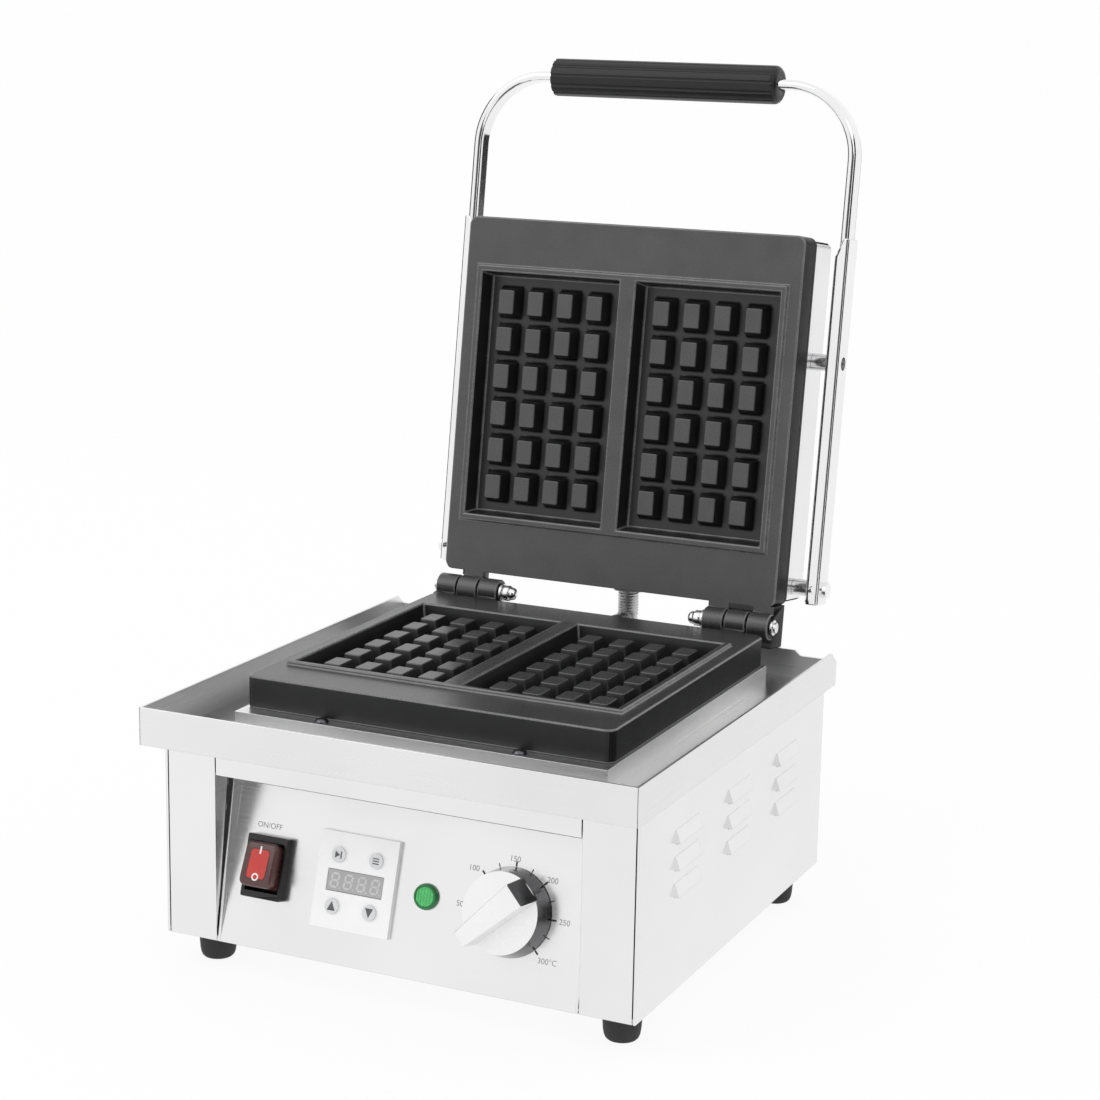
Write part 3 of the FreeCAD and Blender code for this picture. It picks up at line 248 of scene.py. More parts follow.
def add_piece(name, mesh, material, body, stands_for=()):
    piece = bpy.data.objects.new(name, mesh)
    scene.collection.objects.link(piece)
    mesh.materials.clear()
    mesh.materials.append(material)
    if body:
        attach(piece, body)
    if stands_for:
        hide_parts(*stands_for)
    return piece


def mesh_of(name, bm, smooth=True):
    mesh = bpy.data.meshes.new(name)
    for face in bm.faces:
        face.smooth = smooth
    bm.to_mesh(mesh)
    bm.free()
    return mesh


def evaluated(thing):
    """The mesh that a helper object comes to; the object goes."""
    scene.collection.objects.link(thing)
    bpy.context.view_layer.update()
    mesh = bpy.data.meshes.new_from_object(thing.evaluated_get(bpy.context.evaluated_depsgraph_get()))
    bpy.data.objects.remove(thing)
    return mesh


def round_edges(piece, width, segments, limit="ANGLE"):
    bevel = piece.modifiers.new("edges", "BEVEL")
    bevel.width = width * MM
    bevel.segments = segments
    bevel.limit_method = limit
    bevel.use_clamp_overlap = False
    normals = piece.modifiers.new("normals", "WEIGHTED_NORMAL")
    normals.keep_sharp = True


def mark_edges(bm, width):
    """Gives weight to the edges to round: bent ones, except short ones and those that end in a narrow tip."""
    weight = bm.edges.layers.float.new("bevel_weight_edge")
    narrow = {
        corner.vert for face in bm.faces for corner in face.loops
        if corner.is_convex and corner.calc_angle() < NARROW
    }
    for edge in bm.edges:
        bent = len(edge.link_faces) == 2 and edge.calc_face_angle() > BENT
        roomy = edge.calc_length() > ROOMY * width * MM and narrow.isdisjoint(edge.verts)
        edge[weight] = 1.0 if bent and roomy else 0.0
        edge.smooth = roomy or not bent


def make_whole(bm):
    """Joins flat neighbouring faces."""
    bmesh.ops.dissolve_limit(bm, angle_limit=SAME_PLANE, verts=bm.verts, edges=bm.edges)


def fill_holes(bm):
    """A face in each closed loop of open edges."""
    bmesh.ops.edgeloop_fill(bm, edges=[edge for edge in bm.edges if edge.is_boundary])


def joined(node):
    """A CAD node's mesh with shared corners joined and flat faces made whole."""
    bm = bmesh.new()
    bm.from_mesh(frame["nodes"][node].data)
    bmesh.ops.remove_doubles(bm, verts=bm.verts, dist=SAME_PLACE * MM)
    make_whole(bm)
    return bm


def drop_layers(mesh):
    """Takes away the normals and the map that came with a CAD mesh."""
    for layer in ("custom_normal", "UVMap"):
        if layer in mesh.attributes:
            mesh.attributes.remove(mesh.attributes[layer])


def stand_for(node, bm, material, width, segments):
    """The piece that takes a node's place, with the marked edges rounded."""
    mesh = mesh_of(node + "_skin", bm)
    drop_layers(mesh)
    piece = add_piece(node + "_soft", mesh, material, BODY[node], [node])
    round_edges(piece, width, segments, "WEIGHT")
    return piece


def soften(node, material, width, segments):
    """The node again with its edges rounded."""
    bm = joined(node)
    mark_edges(bm, width)
    return stand_for(node, bm, material or FINISH[SLOT[node]], width, segments)


def push(bm, faces, way):
    """Draws faces out along a vector."""
    grown = bmesh.ops.extrude_face_region(bm, geom=faces)
    moved = [part for part in grown["geom"] if isinstance(part, bmesh.types.BMVert)]
    bmesh.ops.translate(bm, verts=moved, vec=way)


def prism(name, outline, matrix, thick, material, body):
    """A thin flat shape: an outline on a plane, drawn out along its normal."""
    bm = bmesh.new()
    face = bm.faces.new([bm.verts.new(Vector((x, y, 0)) * MM) for x, y in outline])
    push(bm, [face], (0, 0, thick * MM))
    bmesh.ops.recalc_face_normals(bm, faces=bm.faces)
    bm.transform(matrix)
    return add_piece(name, mesh_of(name, bm, smooth=False), material, body)


def sideways(x, y=0.0, z=0.0):
    """A frame for a prism that is drawn on the part's Y and Z and thickens along its X."""
    return Matrix(((0, 0, 1, x), (1, 0, 0, y), (0, 1, 0, z), (0, 0, 0, 1)))


def lettering(name, text, matrix):
    """Printed words as a thin mesh, centred on the matrix."""
    curve = bpy.data.curves.new(name, "FONT")
    curve.body = text
    curve.size = LETTER_SIZE * MM
    curve.extrude = LETTER_HALF * MM
    curve.align_x = "CENTER"
    curve.align_y = "CENTER"
    mesh = evaluated(bpy.data.objects.new(name + "_type", curve))
    mesh.transform(matrix)
    add_piece(name, mesh, grey_print, "base")


def circle(radius, height, steps):
    turns = [math.tau * step / steps for step in range(steps)]
    return [(radius * math.cos(turn), radius * math.sin(turn), height) for turn in turns]


def rectangle(left, right, low, high):
    return [(left, low), (right, low), (right, high), (left, high)]


def rounded_outline(width, height, radius, steps=6):
    corners = []
    for number, (sx, sy) in enumerate(((1, 1), (-1, 1), (-1, -1), (1, -1))):
        for step in range(steps + 1):
            turn = math.pi / 2 * (number + step / steps)
            x = sx * (width / 2 - radius) + radius * math.cos(turn)
            corners.append((x, sy * (height / 2 - radius) + radius * math.sin(turn)))
    return corners


def bridge(bm, lower, upper):
    """Faces between two rings of corners."""
    for step in range(len(lower)):
        after = (step + 1) % len(lower)
        bm.faces.new((lower[step], lower[after], upper[after], upper[step]))


def add_points(bm, rings):
    return [[bm.verts.new(Vector(point) * MM) for point in ring] for ring in rings]


def add_rings(bm, rings):
    """A closed skin over rings of points."""
    loops = add_points(bm, rings)
    for lower, upper in zip(loops, loops[1:]):
        bridge(bm, lower, upper)
    bm.faces.new(loops[-1])
    bm.faces.new(loops[0][::-1])


def lathe(name, profile, matrix, material, steps, node):
    """A turned form in a node's place: (radius, height) points spun about the matrix's Z."""
    bm = bmesh.new()
    add_rings(bm, [circle(radius, height, steps) for radius, height in profile])
    bmesh.ops.recalc_face_normals(bm, faces=bm.faces)
    bm.transform(matrix)
    add_piece(name, mesh_of(name, bm), material, BODY[node], [node])


def ring_mesh(name, outer, inner, matrix, thick, material, body, steps=40):
    """A flat ring."""
    bm = bmesh.new()
    corners = ((inner, 0), (outer, 0), (outer, thick), (inner, thick))
    loops = add_points(bm, [circle(radius, height, steps) for radius, height in corners])
    for lower, upper in zip(loops, loops[1:] + loops[:1]):
        bridge(bm, lower, upper)
    bmesh.ops.recalc_face_normals(bm, faces=bm.faces)
    bm.transform(matrix)
    add_piece(name, mesh_of(name, bm, smooth=False), material, body)


# Nodes that are only softened, with the width of their rounding

ROUNDING = {
    "plinth": 1.0, "lid_gasket": 0.4, "lid_cover": 1.0, "handle_spacers": 0.3, "hinge_washers": 0.3,
    "conduit_gland_base": 0.5, "conduit_gland_lid": 0.5, "timer_fascia": 0.2, "timer_display": 0.2,
    "switch_frame": 0.25, "cord_gland": 0.6, "button_start": 0.2, "button_mode": 0.2, "button_up": 0.2,
    "button_down": 0.2, "handle_bolts": 0.6, "hinge_bolts": 0.5, "lid_cover_screws": 0.5, "grip": 0.5,
}
WIDE_ROUNDING = 0.9
OWN_FINISH = {"grip": grip_black, "conduit_gland_lid": gland_grey, "plinth": tray_steel}
OWN_FINISH.update({node: key_film for node in ROUNDING if node.startswith("button_")})
softened = {}
for node, width in ROUNDING.items():
    steps = ROUND_STEPS if width > WIDE_ROUNDING else SMALL_ROUND_STEPS
    softened[node] = soften(node, OWN_FINISH.get(node), width, steps)


# Waffle plates

PLATE_REAR, PLATE_SIDE, PLATE_ROUNDING = -12, 114, 1.1
ROUNDED_REAR = PLATE_REAR - 1
EYE_RADIUS, EYE_SHARE = 8.6, 0.75
PEG_TOP, CAVITY_FLOOR = -3.2, -14.2
PEG_TAPER, PEG_SPREAD = 2.6 / 12, 3
PEG_RISE, PEG_STEPS = PEG_TOP - CAVITY_FLOOR, 3
HIGHLIT_DEPTH, HIGHLIT_UPWARD, SIDE_OUTWARD = 0.7, 0.3, 0.5
NEAR = 0.05
# A peg's section: height above the cavity's floor, how far it stands out from the taper, and corner radius
PEG_PROFILE = (
    (-0.3, 1.0, 2.0), (0.0, 0.9, 2.0), (0.3, 0.4, 1.7), (0.9, 0.08, 1.4), (PEG_RISE - 0.6, 0.0, 1.2),
    (PEG_RISE - 0.3, -0.08, 1.1), (PEG_RISE - 0.08, -0.3, 1.0), (PEG_RISE, -0.6, 0.8),
)
# Places in a plate's list of finishes
COATED, HIGHLIT, EDGE_HIGHLIGHT, SIDE = range(4)


def add_peg(bm, box):
    """One cast peg: a flared foot, leaning sides and a rounded crown."""
    (x0, x1), (y0, y1) = box
    middle_x, middle_y = (x0 + x1) / 2, (y0 + y1) / 2
    rings = []
    for height, out, corner in PEG_PROFILE:
        grow = 2 * (out + PEG_TAPER * (PEG_RISE - height))
        outline = rounded_outline(x1 - x0 + grow, y1 - y0 + grow, corner, PEG_STEPS)
        rings.append([(middle_x + x, middle_y + y, CAVITY_FLOOR + height) for x, y in outline])
    add_rings(bm, rings)


def limits(face):
    """A face's reach along X and Y."""
    reach = []
    for axis in (0, 1):
        places = [corner.co[axis] / MM for corner in face.verts]
        reach.append((min(places), max(places)))
    return reach


def take_pegs(bm):
    """Takes away the sharp pegs, closes the floor under them and gives back the limits of their tops."""
    boxes = [
        limits(face) for face in bm.faces
        if face.normal.z > SQUARE and abs(face.calc_center_median().z / MM - PEG_TOP) < NEAR
    ]
    sharp = []
    for face in bm.faces:
        x, y, z = face.calc_center_median() / MM
        inside = any(
            x0 - PEG_SPREAD < x < x1 + PEG_SPREAD and y0 - PEG_SPREAD < y < y1 + PEG_SPREAD
            for (x0, x1), (y0, y1) in boxes
        )
        if inside and CAVITY_FLOOR + NEAR < z < PEG_TOP + NEAR:
            sharp.append(face)
    bmesh.ops.delete(bm, geom=sharp, context="FACES")
    fill_holes(bm)
    make_whole(bm)
    return boxes


def mark_plate(bm):
    """Gives weight to the bent edges ahead of the hinge and some to the rims of the eyes."""
    weight = bm.edges.layers.float.new("bevel_weight_edge")
    for edge in bm.edges:
        bent = len(edge.link_faces) == 2 and edge.calc_face_angle() > BENT
        ahead = all(vert.co.y / MM < ROUNDED_REAR for vert in edge.verts)
        on_eye = all(abs(vert.co.yz.length / MM - EYE_RADIUS) < NEAR for vert in edge.verts)
        if bent and (ahead or on_eye):
            edge[weight] = 1.0 if ahead else EYE_SHARE
        edge.smooth = not bent or edge[weight] > 0


def plate_finish(face):
    """Painted shade at the plate's sides, a painted highlight on what stands up, coated elsewhere."""
    middle = face.calc_center_median() / MM
    if abs(face.normal.x) > SIDE_OUTWARD and abs(middle.x) > PLATE_SIDE:
        return SIDE
    return HIGHLIT if face.normal.z > HIGHLIT_UPWARD and middle.z > PEG_TOP - HIGHLIT_DEPTH else COATED


def make_plate(node, place):
    """A cast plate whose sharp pegs give way to rounded ones; place is its frame at the hinge pin."""
    bm = joined(node)
    bm.transform(place.inverted())
    bm.normal_update()
    boxes = take_pegs(bm)
    mark_plate(bm)
    for box in boxes:
        add_peg(bm, box)
    bm.normal_update()
    finishes = [plate_finish(face) for face in bm.faces]
    bm.transform(place)
    plate = stand_for(node, bm, coated, PLATE_ROUNDING, ROUND_STEPS)
    for material in (painted_highlight_coat, painted_edge_highlight, shaded_side_coat):
        plate.data.materials.append(material)
    # The rounded edges take the painted edge highlight
    plate.modifiers["edges"].material = EDGE_HIGHLIGHT
    for face, finish in zip(plate.data.polygons, finishes):
        face.material_index = finish


make_plate("lower_plate", AT_PIN)
make_plate("upper_plate", AT_LID @ Matrix.Rotation(math.pi, 4, "Y"))


# The lid's rear edge round the lower plate's eyes

WEB_NEAR, WEB_FAR, WEB_CLEAR = 89.2, 106.2, 9.4
WEB_LOW, WEB_HIGH, WEB_STEPS = 2.7, 8.6, 8
WEB_ROOT = PLATE_REAR - 0.1


def make_web(name, start):
    """A web between two eyes of the lid, hollowed for the eye that turns under it."""
    outline = [(WEB_ROOT, WEB_HIGH), (WEB_ROOT, WEB_LOW)]
    for step in range(WEB_STEPS + 1):
        height = WEB_LOW + (WEB_HIGH - WEB_LOW) * step / WEB_STEPS
        outline.append((-math.sqrt(WEB_CLEAR ** 2 - height ** 2), height))
    prism(name, outline, AT_LID @ sideways(start * MM), WEB_FAR - WEB_NEAR, coated, "lid")


make_web("hinge_web_left", -WEB_FAR)
make_web("hinge_web_right", WEB_NEAR)


# Handle arms

ARM_ROUNDING, ARM_END_ROUNDING, ARM_STEPS = 2.4, 0.8, 5
ARM_BULGE, ARM_FLAT, ARM_BEND = 0.3, 0.1, 0.05
ARM_SLOPE, ARM_TIP = 12, 4.55
SINK_REACH, SINK_RADIUS, SINK_DEPTH = 173, 4.4, 5.5
SET_SCREW_REACH, SET_SCREW_RADIUS, SET_SCREW_DEPTH = 24, 2.6, 3
DRILL_START, DRILL_SIDES = -5, 32
SHARP = math.radians(40)


def add_drill(bm, spot, axis, radius, depth):
    """A round cutter that starts outside a face and goes in along an axis."""
    turn = Vector((0, 0, 1)).rotation_difference(axis).to_matrix()
    rings = []
    for along in (DRILL_START, depth):
        rings.append([spot + turn @ Vector(point) for point in circle(radius, along, DRILL_SIDES)])
    add_rings(bm, rings)


def carved(name, solid, drills):
    """The first form less the second."""
    block = bpy.data.objects.new(name, mesh_of(name, solid))
    cutter = bpy.data.objects.new(name + "_drills", mesh_of(name + "_drills", drills))
    scene.collection.objects.link(cutter)
    drill = block.modifiers.new("drill", "BOOLEAN")
    drill.object = cutter
    mesh = evaluated(block)
    bpy.data.objects.remove(cutter)
    mesh.set_sharp_from_angle(angle=SHARP)
    return mesh


def make_arm(node, side):
    """A rounded bar with a sloped tip, cut by a sink for the upper bolt and by a set-screw hole."""
    corners = [AT_LID.inverted() @ vert.co / MM for vert in frame["nodes"][node].data.vertices]
    inner, outer = min(abs(spot.x) for spot in corners), max(abs(spot.x) for spot in corners)
    tip, root = min(spot.y for spot in corners), max(spot.y for spot in corners)
    front, back = min(spot.z for spot in corners), max(spot.z for spot in corners)
    middle = (front + back) / 2
    slope_start = tip + ARM_SLOPE
    soft = ARM_END_ROUNDING
    bulge = soft * ARM_BULGE
    sections = [(root, soft), (root - bulge, bulge), (root - soft, 0)]
    sections += [(slope_start + soft, 0), (slope_start, ARM_BEND), (slope_start - soft, 0)]
    sections += [(tip + soft, 0), (tip + bulge, bulge), (tip, soft)]
    rings = []
    for y, inset in sections:
        cut_back = max(0, slope_start - y) / ARM_SLOPE * (outer - inner - ARM_TIP)
        width = outer - inner - cut_back - 2 * inset
        x = outer - inset - width / 2
        corner = min(ARM_ROUNDING - inset, width / 2 - ARM_FLAT)
        outline = rounded_outline(width, back - front - 2 * inset, corner, ARM_STEPS)
        rings.append([(side * (x + across), y, middle + along) for across, along in outline])
    solid, drills = bmesh.new(), bmesh.new()
    add_rings(solid, rings)
    sink = Vector((side * outer, -SINK_REACH, middle))
    add_drill(drills, sink, Vector((-side, 0, 0)), SINK_RADIUS, SINK_DEPTH)
    set_screw = Vector((side * (inner + outer) / 2, -SET_SCREW_REACH, front))
    add_drill(drills, set_screw, Vector((0, 0, 1)), SET_SCREW_RADIUS, SET_SCREW_DEPTH)
    for bm in (solid, drills):
        bmesh.ops.recalc_face_normals(bm, faces=bm.faces)
        bm.transform(AT_LID)
    mesh = carved(node + "_skin", solid, drills)
    arm = add_piece(node + "_soft", mesh, arm_steel, BODY[node], [node])
    arm.modifiers.new("normals", "WEIGHTED_NORMAL").keep_sharp = True


make_arm("handle_arm_left", -1)
make_arm("handle_arm_right", 1)


# Dark strips in the slots beside the control recess: painted shade

# How far back a column's return and the panel's cheek reach, and the heights over which they get there
RETURN_LOW, RETURN_HIGH, COLUMN_TALL = 1.5, 17.7, 121.5
CHEEK_HIGH, RECESS_TALL = 18.8, 104
SLOT_SHADE_START, SLOT_SHADE_TUCK = 20, 4
SLOT_SHADE_X, SLOT_SHADE_THICK = 118.8, 0.6


def make_slot_shade(name, start):
    """A dark strip from the rear edge of a column's return to behind the panel's cheek: painted shade in the
    slot.
    """
    front, rear = [], []
    for height in (SLOT_SHADE_START, RECESS_TALL):
        front.append((RETURN_LOW + (RETURN_HIGH - RETURN_LOW) * height / COLUMN_TALL, height))
        rear.append((CHEEK_HIGH * height / RECESS_TALL + SLOT_SHADE_TUCK, height))
    place = sideways(start * MM, PANEL_LOW.y, PANEL_LOW.z)
    prism(name, front + rear[::-1], place, SLOT_SHADE_THICK, rubber, "base")


make_slot_shade("recess_slot_shade_left", -SLOT_SHADE_X - SLOT_SHADE_THICK)
make_slot_shade("recess_slot_shade_right", SLOT_SHADE_X)


# The shadow line under the header

SHEET = 1.5
SHADOW_LINE_TALL, SHADOW_LINE_DEEP = 0.35, 1.2


def make_header_shadow():
    """A dark strip under the header's lower edge: a painted shadow line."""
    low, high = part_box("header_strip")
    upright = Matrix(((1, 0, 0, 0), (0, 0, -1, low.y + SHEET * MM), (0, 1, 0, low.z), (0, 0, 0, 1)))
    outline = rectangle(low.x / MM, high.x / MM, -SHADOW_LINE_TALL, 0)
    prism("header_shadow_line", outline, upright, SHADOW_LINE_DEEP, rubber, "base")


make_header_shadow()


# Tray

SEAM_NEAR, SEAM_WIDE, SEAM_DEEP = 0.25, 0.35, 0.5
STOP_HALF, STOP_END = 131, 1
TRAY_NEAR = 0.1


def trim_stop(bm, rear_y):
    """Lowers the slivers at the ends of the rear stop to its top."""
    rear = [vert for vert in bm.verts if vert.co.y > rear_y - (SHEET + TRAY_NEAR) * MM]
    top = max(vert.co.z for vert in rear if abs(vert.co.x) < (STOP_HALF - STOP_END) * MM)
    for vert in rear:
        if abs(vert.co.x) < (STOP_HALF + STOP_END) * MM:
            vert.co.z = min(vert.co.z, top)
    bmesh.ops.remove_doubles(bm, verts=bm.verts, dist=SAME_PLACE * MM)
    bmesh.ops.dissolve_degenerate(bm, edges=bm.edges, dist=SAME_PLACE * MM)


def cut_seams(bm, front_y, near, far):
    """A fine groove down both ends of the front wall, between two distances from the middle."""
    for x in (far, near, -near, -far):
        everything = [*bm.verts, *bm.edges, *bm.faces]
        bmesh.ops.bisect_plane(bm, geom=everything, plane_co=(x * MM, 0, 0), plane_no=(1, 0, 0))
    bm.normal_update()
    strip = []
    for face in bm.faces:
        middle = face.calc_center_median()
        at_front = face.normal.y < -SQUARE and middle.y < front_y + TRAY_NEAR * MM
        if at_front and near < abs(middle.x) / MM < far:
            strip.append(face)
    push(bm, strip, (0, SEAM_DEEP * MM, 0))
    bmesh.ops.delete(bm, geom=strip, context="FACES")


def make_tray():
    """The tray with its walls' seams at both front corners and plain ends on its rear stop."""
    low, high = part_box("tray")
    far = high.x / MM - SEAM_NEAR
    near = far - SEAM_WIDE
    bm = bmesh.new()
    bm.from_mesh(frame["nodes"]["tray"].data)
    trim_stop(bm, high.y)
    cut_seams(bm, low.y, near, far)
    mesh = mesh_of("tray_skin", bm)
    drop_layers(mesh)
    mesh.set_sharp_from_angle(angle=BENT)
    tray = add_piece("tray_soft", mesh, tray_steel, "base", ["tray"])
    tray.data.materials.append(rubber)
    for face in tray.data.polygons:
        deep = abs(face.center.y - low.y - SEAM_DEEP * MM) < SAME_PLACE * MM
        if deep and near < abs(face.center.x) / MM < far:
            face.material_index = 1


make_tray()


# Feet

FOOT_SIDES = 48
FOOT_PROFILE = (
    (6.0, 7), (6.0, 0.4), (6.4, 0), (7.6, 0), (8.8, 0.5), (9.8, 1.5), (10.5, 3.2), (11.0, 6), (11.6, 14),
    (11.98, 20.7), (12, 21),
)


def make_feet():
    """Tapered feet with a round lower edge and a recess for the screw."""
    low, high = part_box("feet")
    inset = FOOT_PROFILE[-1][0] * MM
    for side, x in (("left", low.x + inset), ("right", high.x - inset)):
        for end, y in (("front", low.y + inset), ("rear", high.y - inset)):
            place = Matrix.Translation((x, y, low.z))
            lathe(f"foot_{end}_{side}", FOOT_PROFILE, place, rubber, FOOT_SIDES, "feet")


make_feet()


# Screws on the plinth's front ledge

SCREW_SIDES, SCREW_RIM = 32, 0.15
DOME_TURNS = (0, 0.3, 0.6, 0.9, 1.2, 1.45)


def make_ledge_screws():
    """Domed heads in the place of the plain ones."""
    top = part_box("plinth")[1].z
    corners = [vert.co for vert in frame["nodes"]["plinth_screws"].data.vertices]
    for side, name in ((-1, "left"), (1, "right")):
        own = [spot for spot in corners if spot.x * side > 0]
        left, right = min(spot.x for spot in own), max(spot.x for spot in own)
        front, rear = min(spot.y for spot in own), max(spot.y for spot in own)
        x, y = (left + right) / 2, (front + rear) / 2
        radius = (right - x) / MM
        rise = (max(spot.z for spot in own) - top) / MM
        profile = [(radius, 0)]
        for turn in DOME_TURNS:
            height = SCREW_RIM + (1 - SCREW_RIM) * math.sin(turn)
            profile.append((radius * math.cos(turn), rise * height))
        place = Matrix.Translation((x, y, top))
        lathe(f"ledge_screw_{name}", profile, place, screw_steel, SCREW_SIDES, "plinth_screws")


make_ledge_screws()


# Acorn nuts on the hinge pins, and the sunk bolts in the arms

ACORN_SIDES = 36
ACORN = (
    (5.0, 0), (5.3, 0.3), (5.3, 4.6), (5.0, 5.0), (4.4, 5.1), (4.35, 6.4), (4.1, 7.6), (3.5, 8.7), (2.6, 9.5),
    (1.4, 9.95), (0.3, 10),
)


def make_acorns():
    """Domed nuts that point at each other along the hinge."""
    corners = [vert.co for vert in frame["nodes"]["hinge_nuts"].data.vertices]
    for side, name in ((-1, "left"), (1, "right")):
        seat = max((spot.x for spot in corners if spot.x * side > 0), key=abs)
        along = Matrix.Rotation(-side * math.pi / 2, 4, "Y")
        place = Matrix.Translation((seat, HINGE.y, HINGE.z)) @ along
        lathe(f"acorn_nut_{name}", ACORN, place, chrome, ACORN_SIDES, "hinge_nuts")


def darken_bolts():
    """The bolts that lie in the arms' sinks, made darker than the other bolts."""
    bolts = softened["handle_bolts"]
    bolts.data.materials.append(screw_steel)
    for face in bolts.data.polygons:
        if (AT_LID.inverted() @ face.center).y / MM < SINK_RADIUS - SINK_REACH:
            face.material_index = 1


make_acorns()
darken_bolts()


# Switch

ROCKER_LEAN, ROCKER_PIVOT = math.radians(-10), 2
ROCKER_TOP, ROCKER_ROOT = 12, 5
CAP_START = ROCKER_ROOT + 0.5
ROOT_HEIGHTS = (-7, -3.5, 0, 3, ROCKER_ROOT - 0.1)
ROOT_SIDE, ROOT_END, ROOT_CORNER = 0.4, 0.2, 2.0
# The cap's sections: height above the pivot, inset from the full outline and corner radius
CAP_SECTIONS = (
    (5.0, 0.1, 3.6), (5.4, 0.0, 3.8), (9.6, 0.0, 4.0), (10.7, 0.2, 3.8), (11.4, 0.6, 3.4),
    (11.85, 1.2, 2.9), (12.0, 2.0, 2.4),
)
CAP_STEPS = 5
WINDOW_WIDE, WINDOW_TALL, WINDOW_CORNER, WINDOW_THICK = 12.5, 17.5, 2.2, 0.15
WINDOW_ROUNDING, WINDOW_BORDER, MARK_THICK = 0.1, 0.4, 0.06
ON_UP, ON_WIDE, ON_TALL, ON_CORNER = 8.4, 1.1, 4.6, 0.4
OFF_UP, OFF_OUTER, OFF_INNER = -7.8, 2.3, 1.4
SWITCH_WORDS_X, SWITCH_WORDS_UP = -94.3, 73.2


def make_rocker(pivot):
    """A pillow-shaped cap over a round root."""
    corners = [pivot.inverted() @ vert.co / MM for vert in frame["nodes"]["rocker"].data.vertices]
    cap = [spot for spot in corners if spot.z > CAP_START]
    half_x, half_y = max(spot.x for spot in cap), max(spot.y for spot in cap)
    sections = []
    for height in ROOT_HEIGHTS:
        reach = math.sqrt(half_y ** 2 - height ** 2)
        sections.append((height, half_x - ROOT_SIDE, reach - ROOT_END, ROOT_CORNER))
    for height, inset, corner in CAP_SECTIONS:
        sections.append((height, half_x - inset, half_y - inset, corner))
    rings = []
    for height, across, along, corner in sections:
        outline = rounded_outline(2 * across, 2 * along, corner, CAP_STEPS)
        rings.append([(x, y, height) for x, y in outline])
    bm = bmesh.new()
    add_rings(bm, rings)
    bmesh.ops.recalc_face_normals(bm, faces=bm.faces)
    bm.transform(pivot)
    add_piece("rocker_soft", mesh_of("rocker_skin", bm), maroon, "rocker", ["rocker"])


def make_switch():
    """The rocker with its window and marks, and the words above it."""
    pivot = panel_matrix(SWITCH_X, CONTROL_HEIGHT, ROCKER_PIVOT, ROCKER_LEAN)
    make_rocker(pivot)
    face = pivot @ Matrix.Translation((0, 0, ROCKER_TOP * MM))
    border = rounded_outline(
        WINDOW_WIDE + 2 * WINDOW_BORDER, WINDOW_TALL + 2 * WINDOW_BORDER, WINDOW_CORNER + WINDOW_BORDER
    )
    prism("rocker_window_edge", border, face, MARK_THICK, window_edge, "rocker")
    pane = rounded_outline(WINDOW_WIDE, WINDOW_TALL, WINDOW_CORNER)
    window = prism("rocker_window", pane, face, WINDOW_THICK, red_window, "rocker")
    round_edges(window, WINDOW_ROUNDING, SMALL_ROUND_STEPS)
    stroke = face @ Matrix.Translation((0, ON_UP * MM, WINDOW_THICK * MM))
    on_mark = rounded_outline(ON_WIDE, ON_TALL, ON_CORNER)
    prism("rocker_mark_on", on_mark, stroke, MARK_THICK, white_print, "rocker")
    ring = face @ Matrix.Translation((0, OFF_UP * MM, WINDOW_THICK * MM))
    ring_mesh("rocker_mark_off", OFF_OUTER, OFF_INNER, ring, MARK_THICK, white_print, "rocker")
    lettering("switch_words", "ON/OFF", panel_matrix(SWITCH_WORDS_X, SWITCH_WORDS_UP))


make_switch()


# Timer

TIMER_FACE, BUTTON_TOP = 3, 4.4
DIGITS, DIGIT_PITCH, DIGIT_SINK = 4, 8.9, 0.25
SEGMENT_REACH, SEGMENT_RISE, SEGMENT_LEAN, SEGMENT_HALF = 2.3, 2.0, 0.12, 0.62
# Where a segment's end comes to its point and where its full width starts, in half widths
SEGMENT_TIP, SEGMENT_FULL = 0.4, 1.3
SEGMENTS = {
    "top": ((-1, 2), (1, 2)), "middle": ((-1, 0), (1, 0)), "bottom": ((-1, -2), (1, -2)),
    "upper_left": ((-1, 2), (-1, 0)), "upper_right": ((1, 2), (1, 0)),
    "lower_left": ((-1, 0), (-1, -2)), "lower_right": ((1, 0), (1, -2)),
}
POINT_X, POINT_DOWN, POINT_RADIUS, POINT_BORE, POINT_SIDES = 3.6, 4.2, 0.55, 0.05, 16
BUTTON_X, BUTTON_Y, SIGN_THICK = 12.5, 15.15, 0.04
COLLAR_OUTER, COLLAR_INNER, COLLAR_THICK = 5.4, 4.55, 0.2
BUTTONS = {
    "button_start": (-BUTTON_X, BUTTON_Y), "button_mode": (BUTTON_X, BUTTON_Y),
    "button_up": (-BUTTON_X, -BUTTON_Y), "button_down": (BUTTON_X, -BUTTON_Y),
}
SIGNS = {
    "button_start": [[(-2.2, 2.1), (-2.2, -2.1), (1.2, 0)], rectangle(1.4, 2.3, -2.1, 2.1)],
    "button_mode": [rectangle(-2.1, 2.1, y - 0.35, y + 0.35) for y in (-1.5, 0, 1.5)],
    "button_up": [[(-2.7, -2.6), (2.7, -2.6), (0, 3.0)]],
    "button_down": [[(-2.7, 2.6), (0, -3.0), (2.7, 2.6)]],
}


def segment_outline(start, end):
    """A bar with pointed ends between two points."""
    length = math.hypot(end[0] - start[0], end[1] - start[1])
    ux, uy = ((far - near) / length * SEGMENT_HALF for near, far in zip(start, end))
    outline = []
    for (x, y), way in ((start, 1), (end, -1)):
        dx, dy = way * ux, way * uy
        full_x, full_y = x + dx * SEGMENT_FULL, y + dy * SEGMENT_FULL
        outline += [(full_x - dy, full_y + dx), (x + dx * SEGMENT_TIP, y + dy * SEGMENT_TIP)]
        outline.append((full_x + dy, full_y - dx))
    return outline


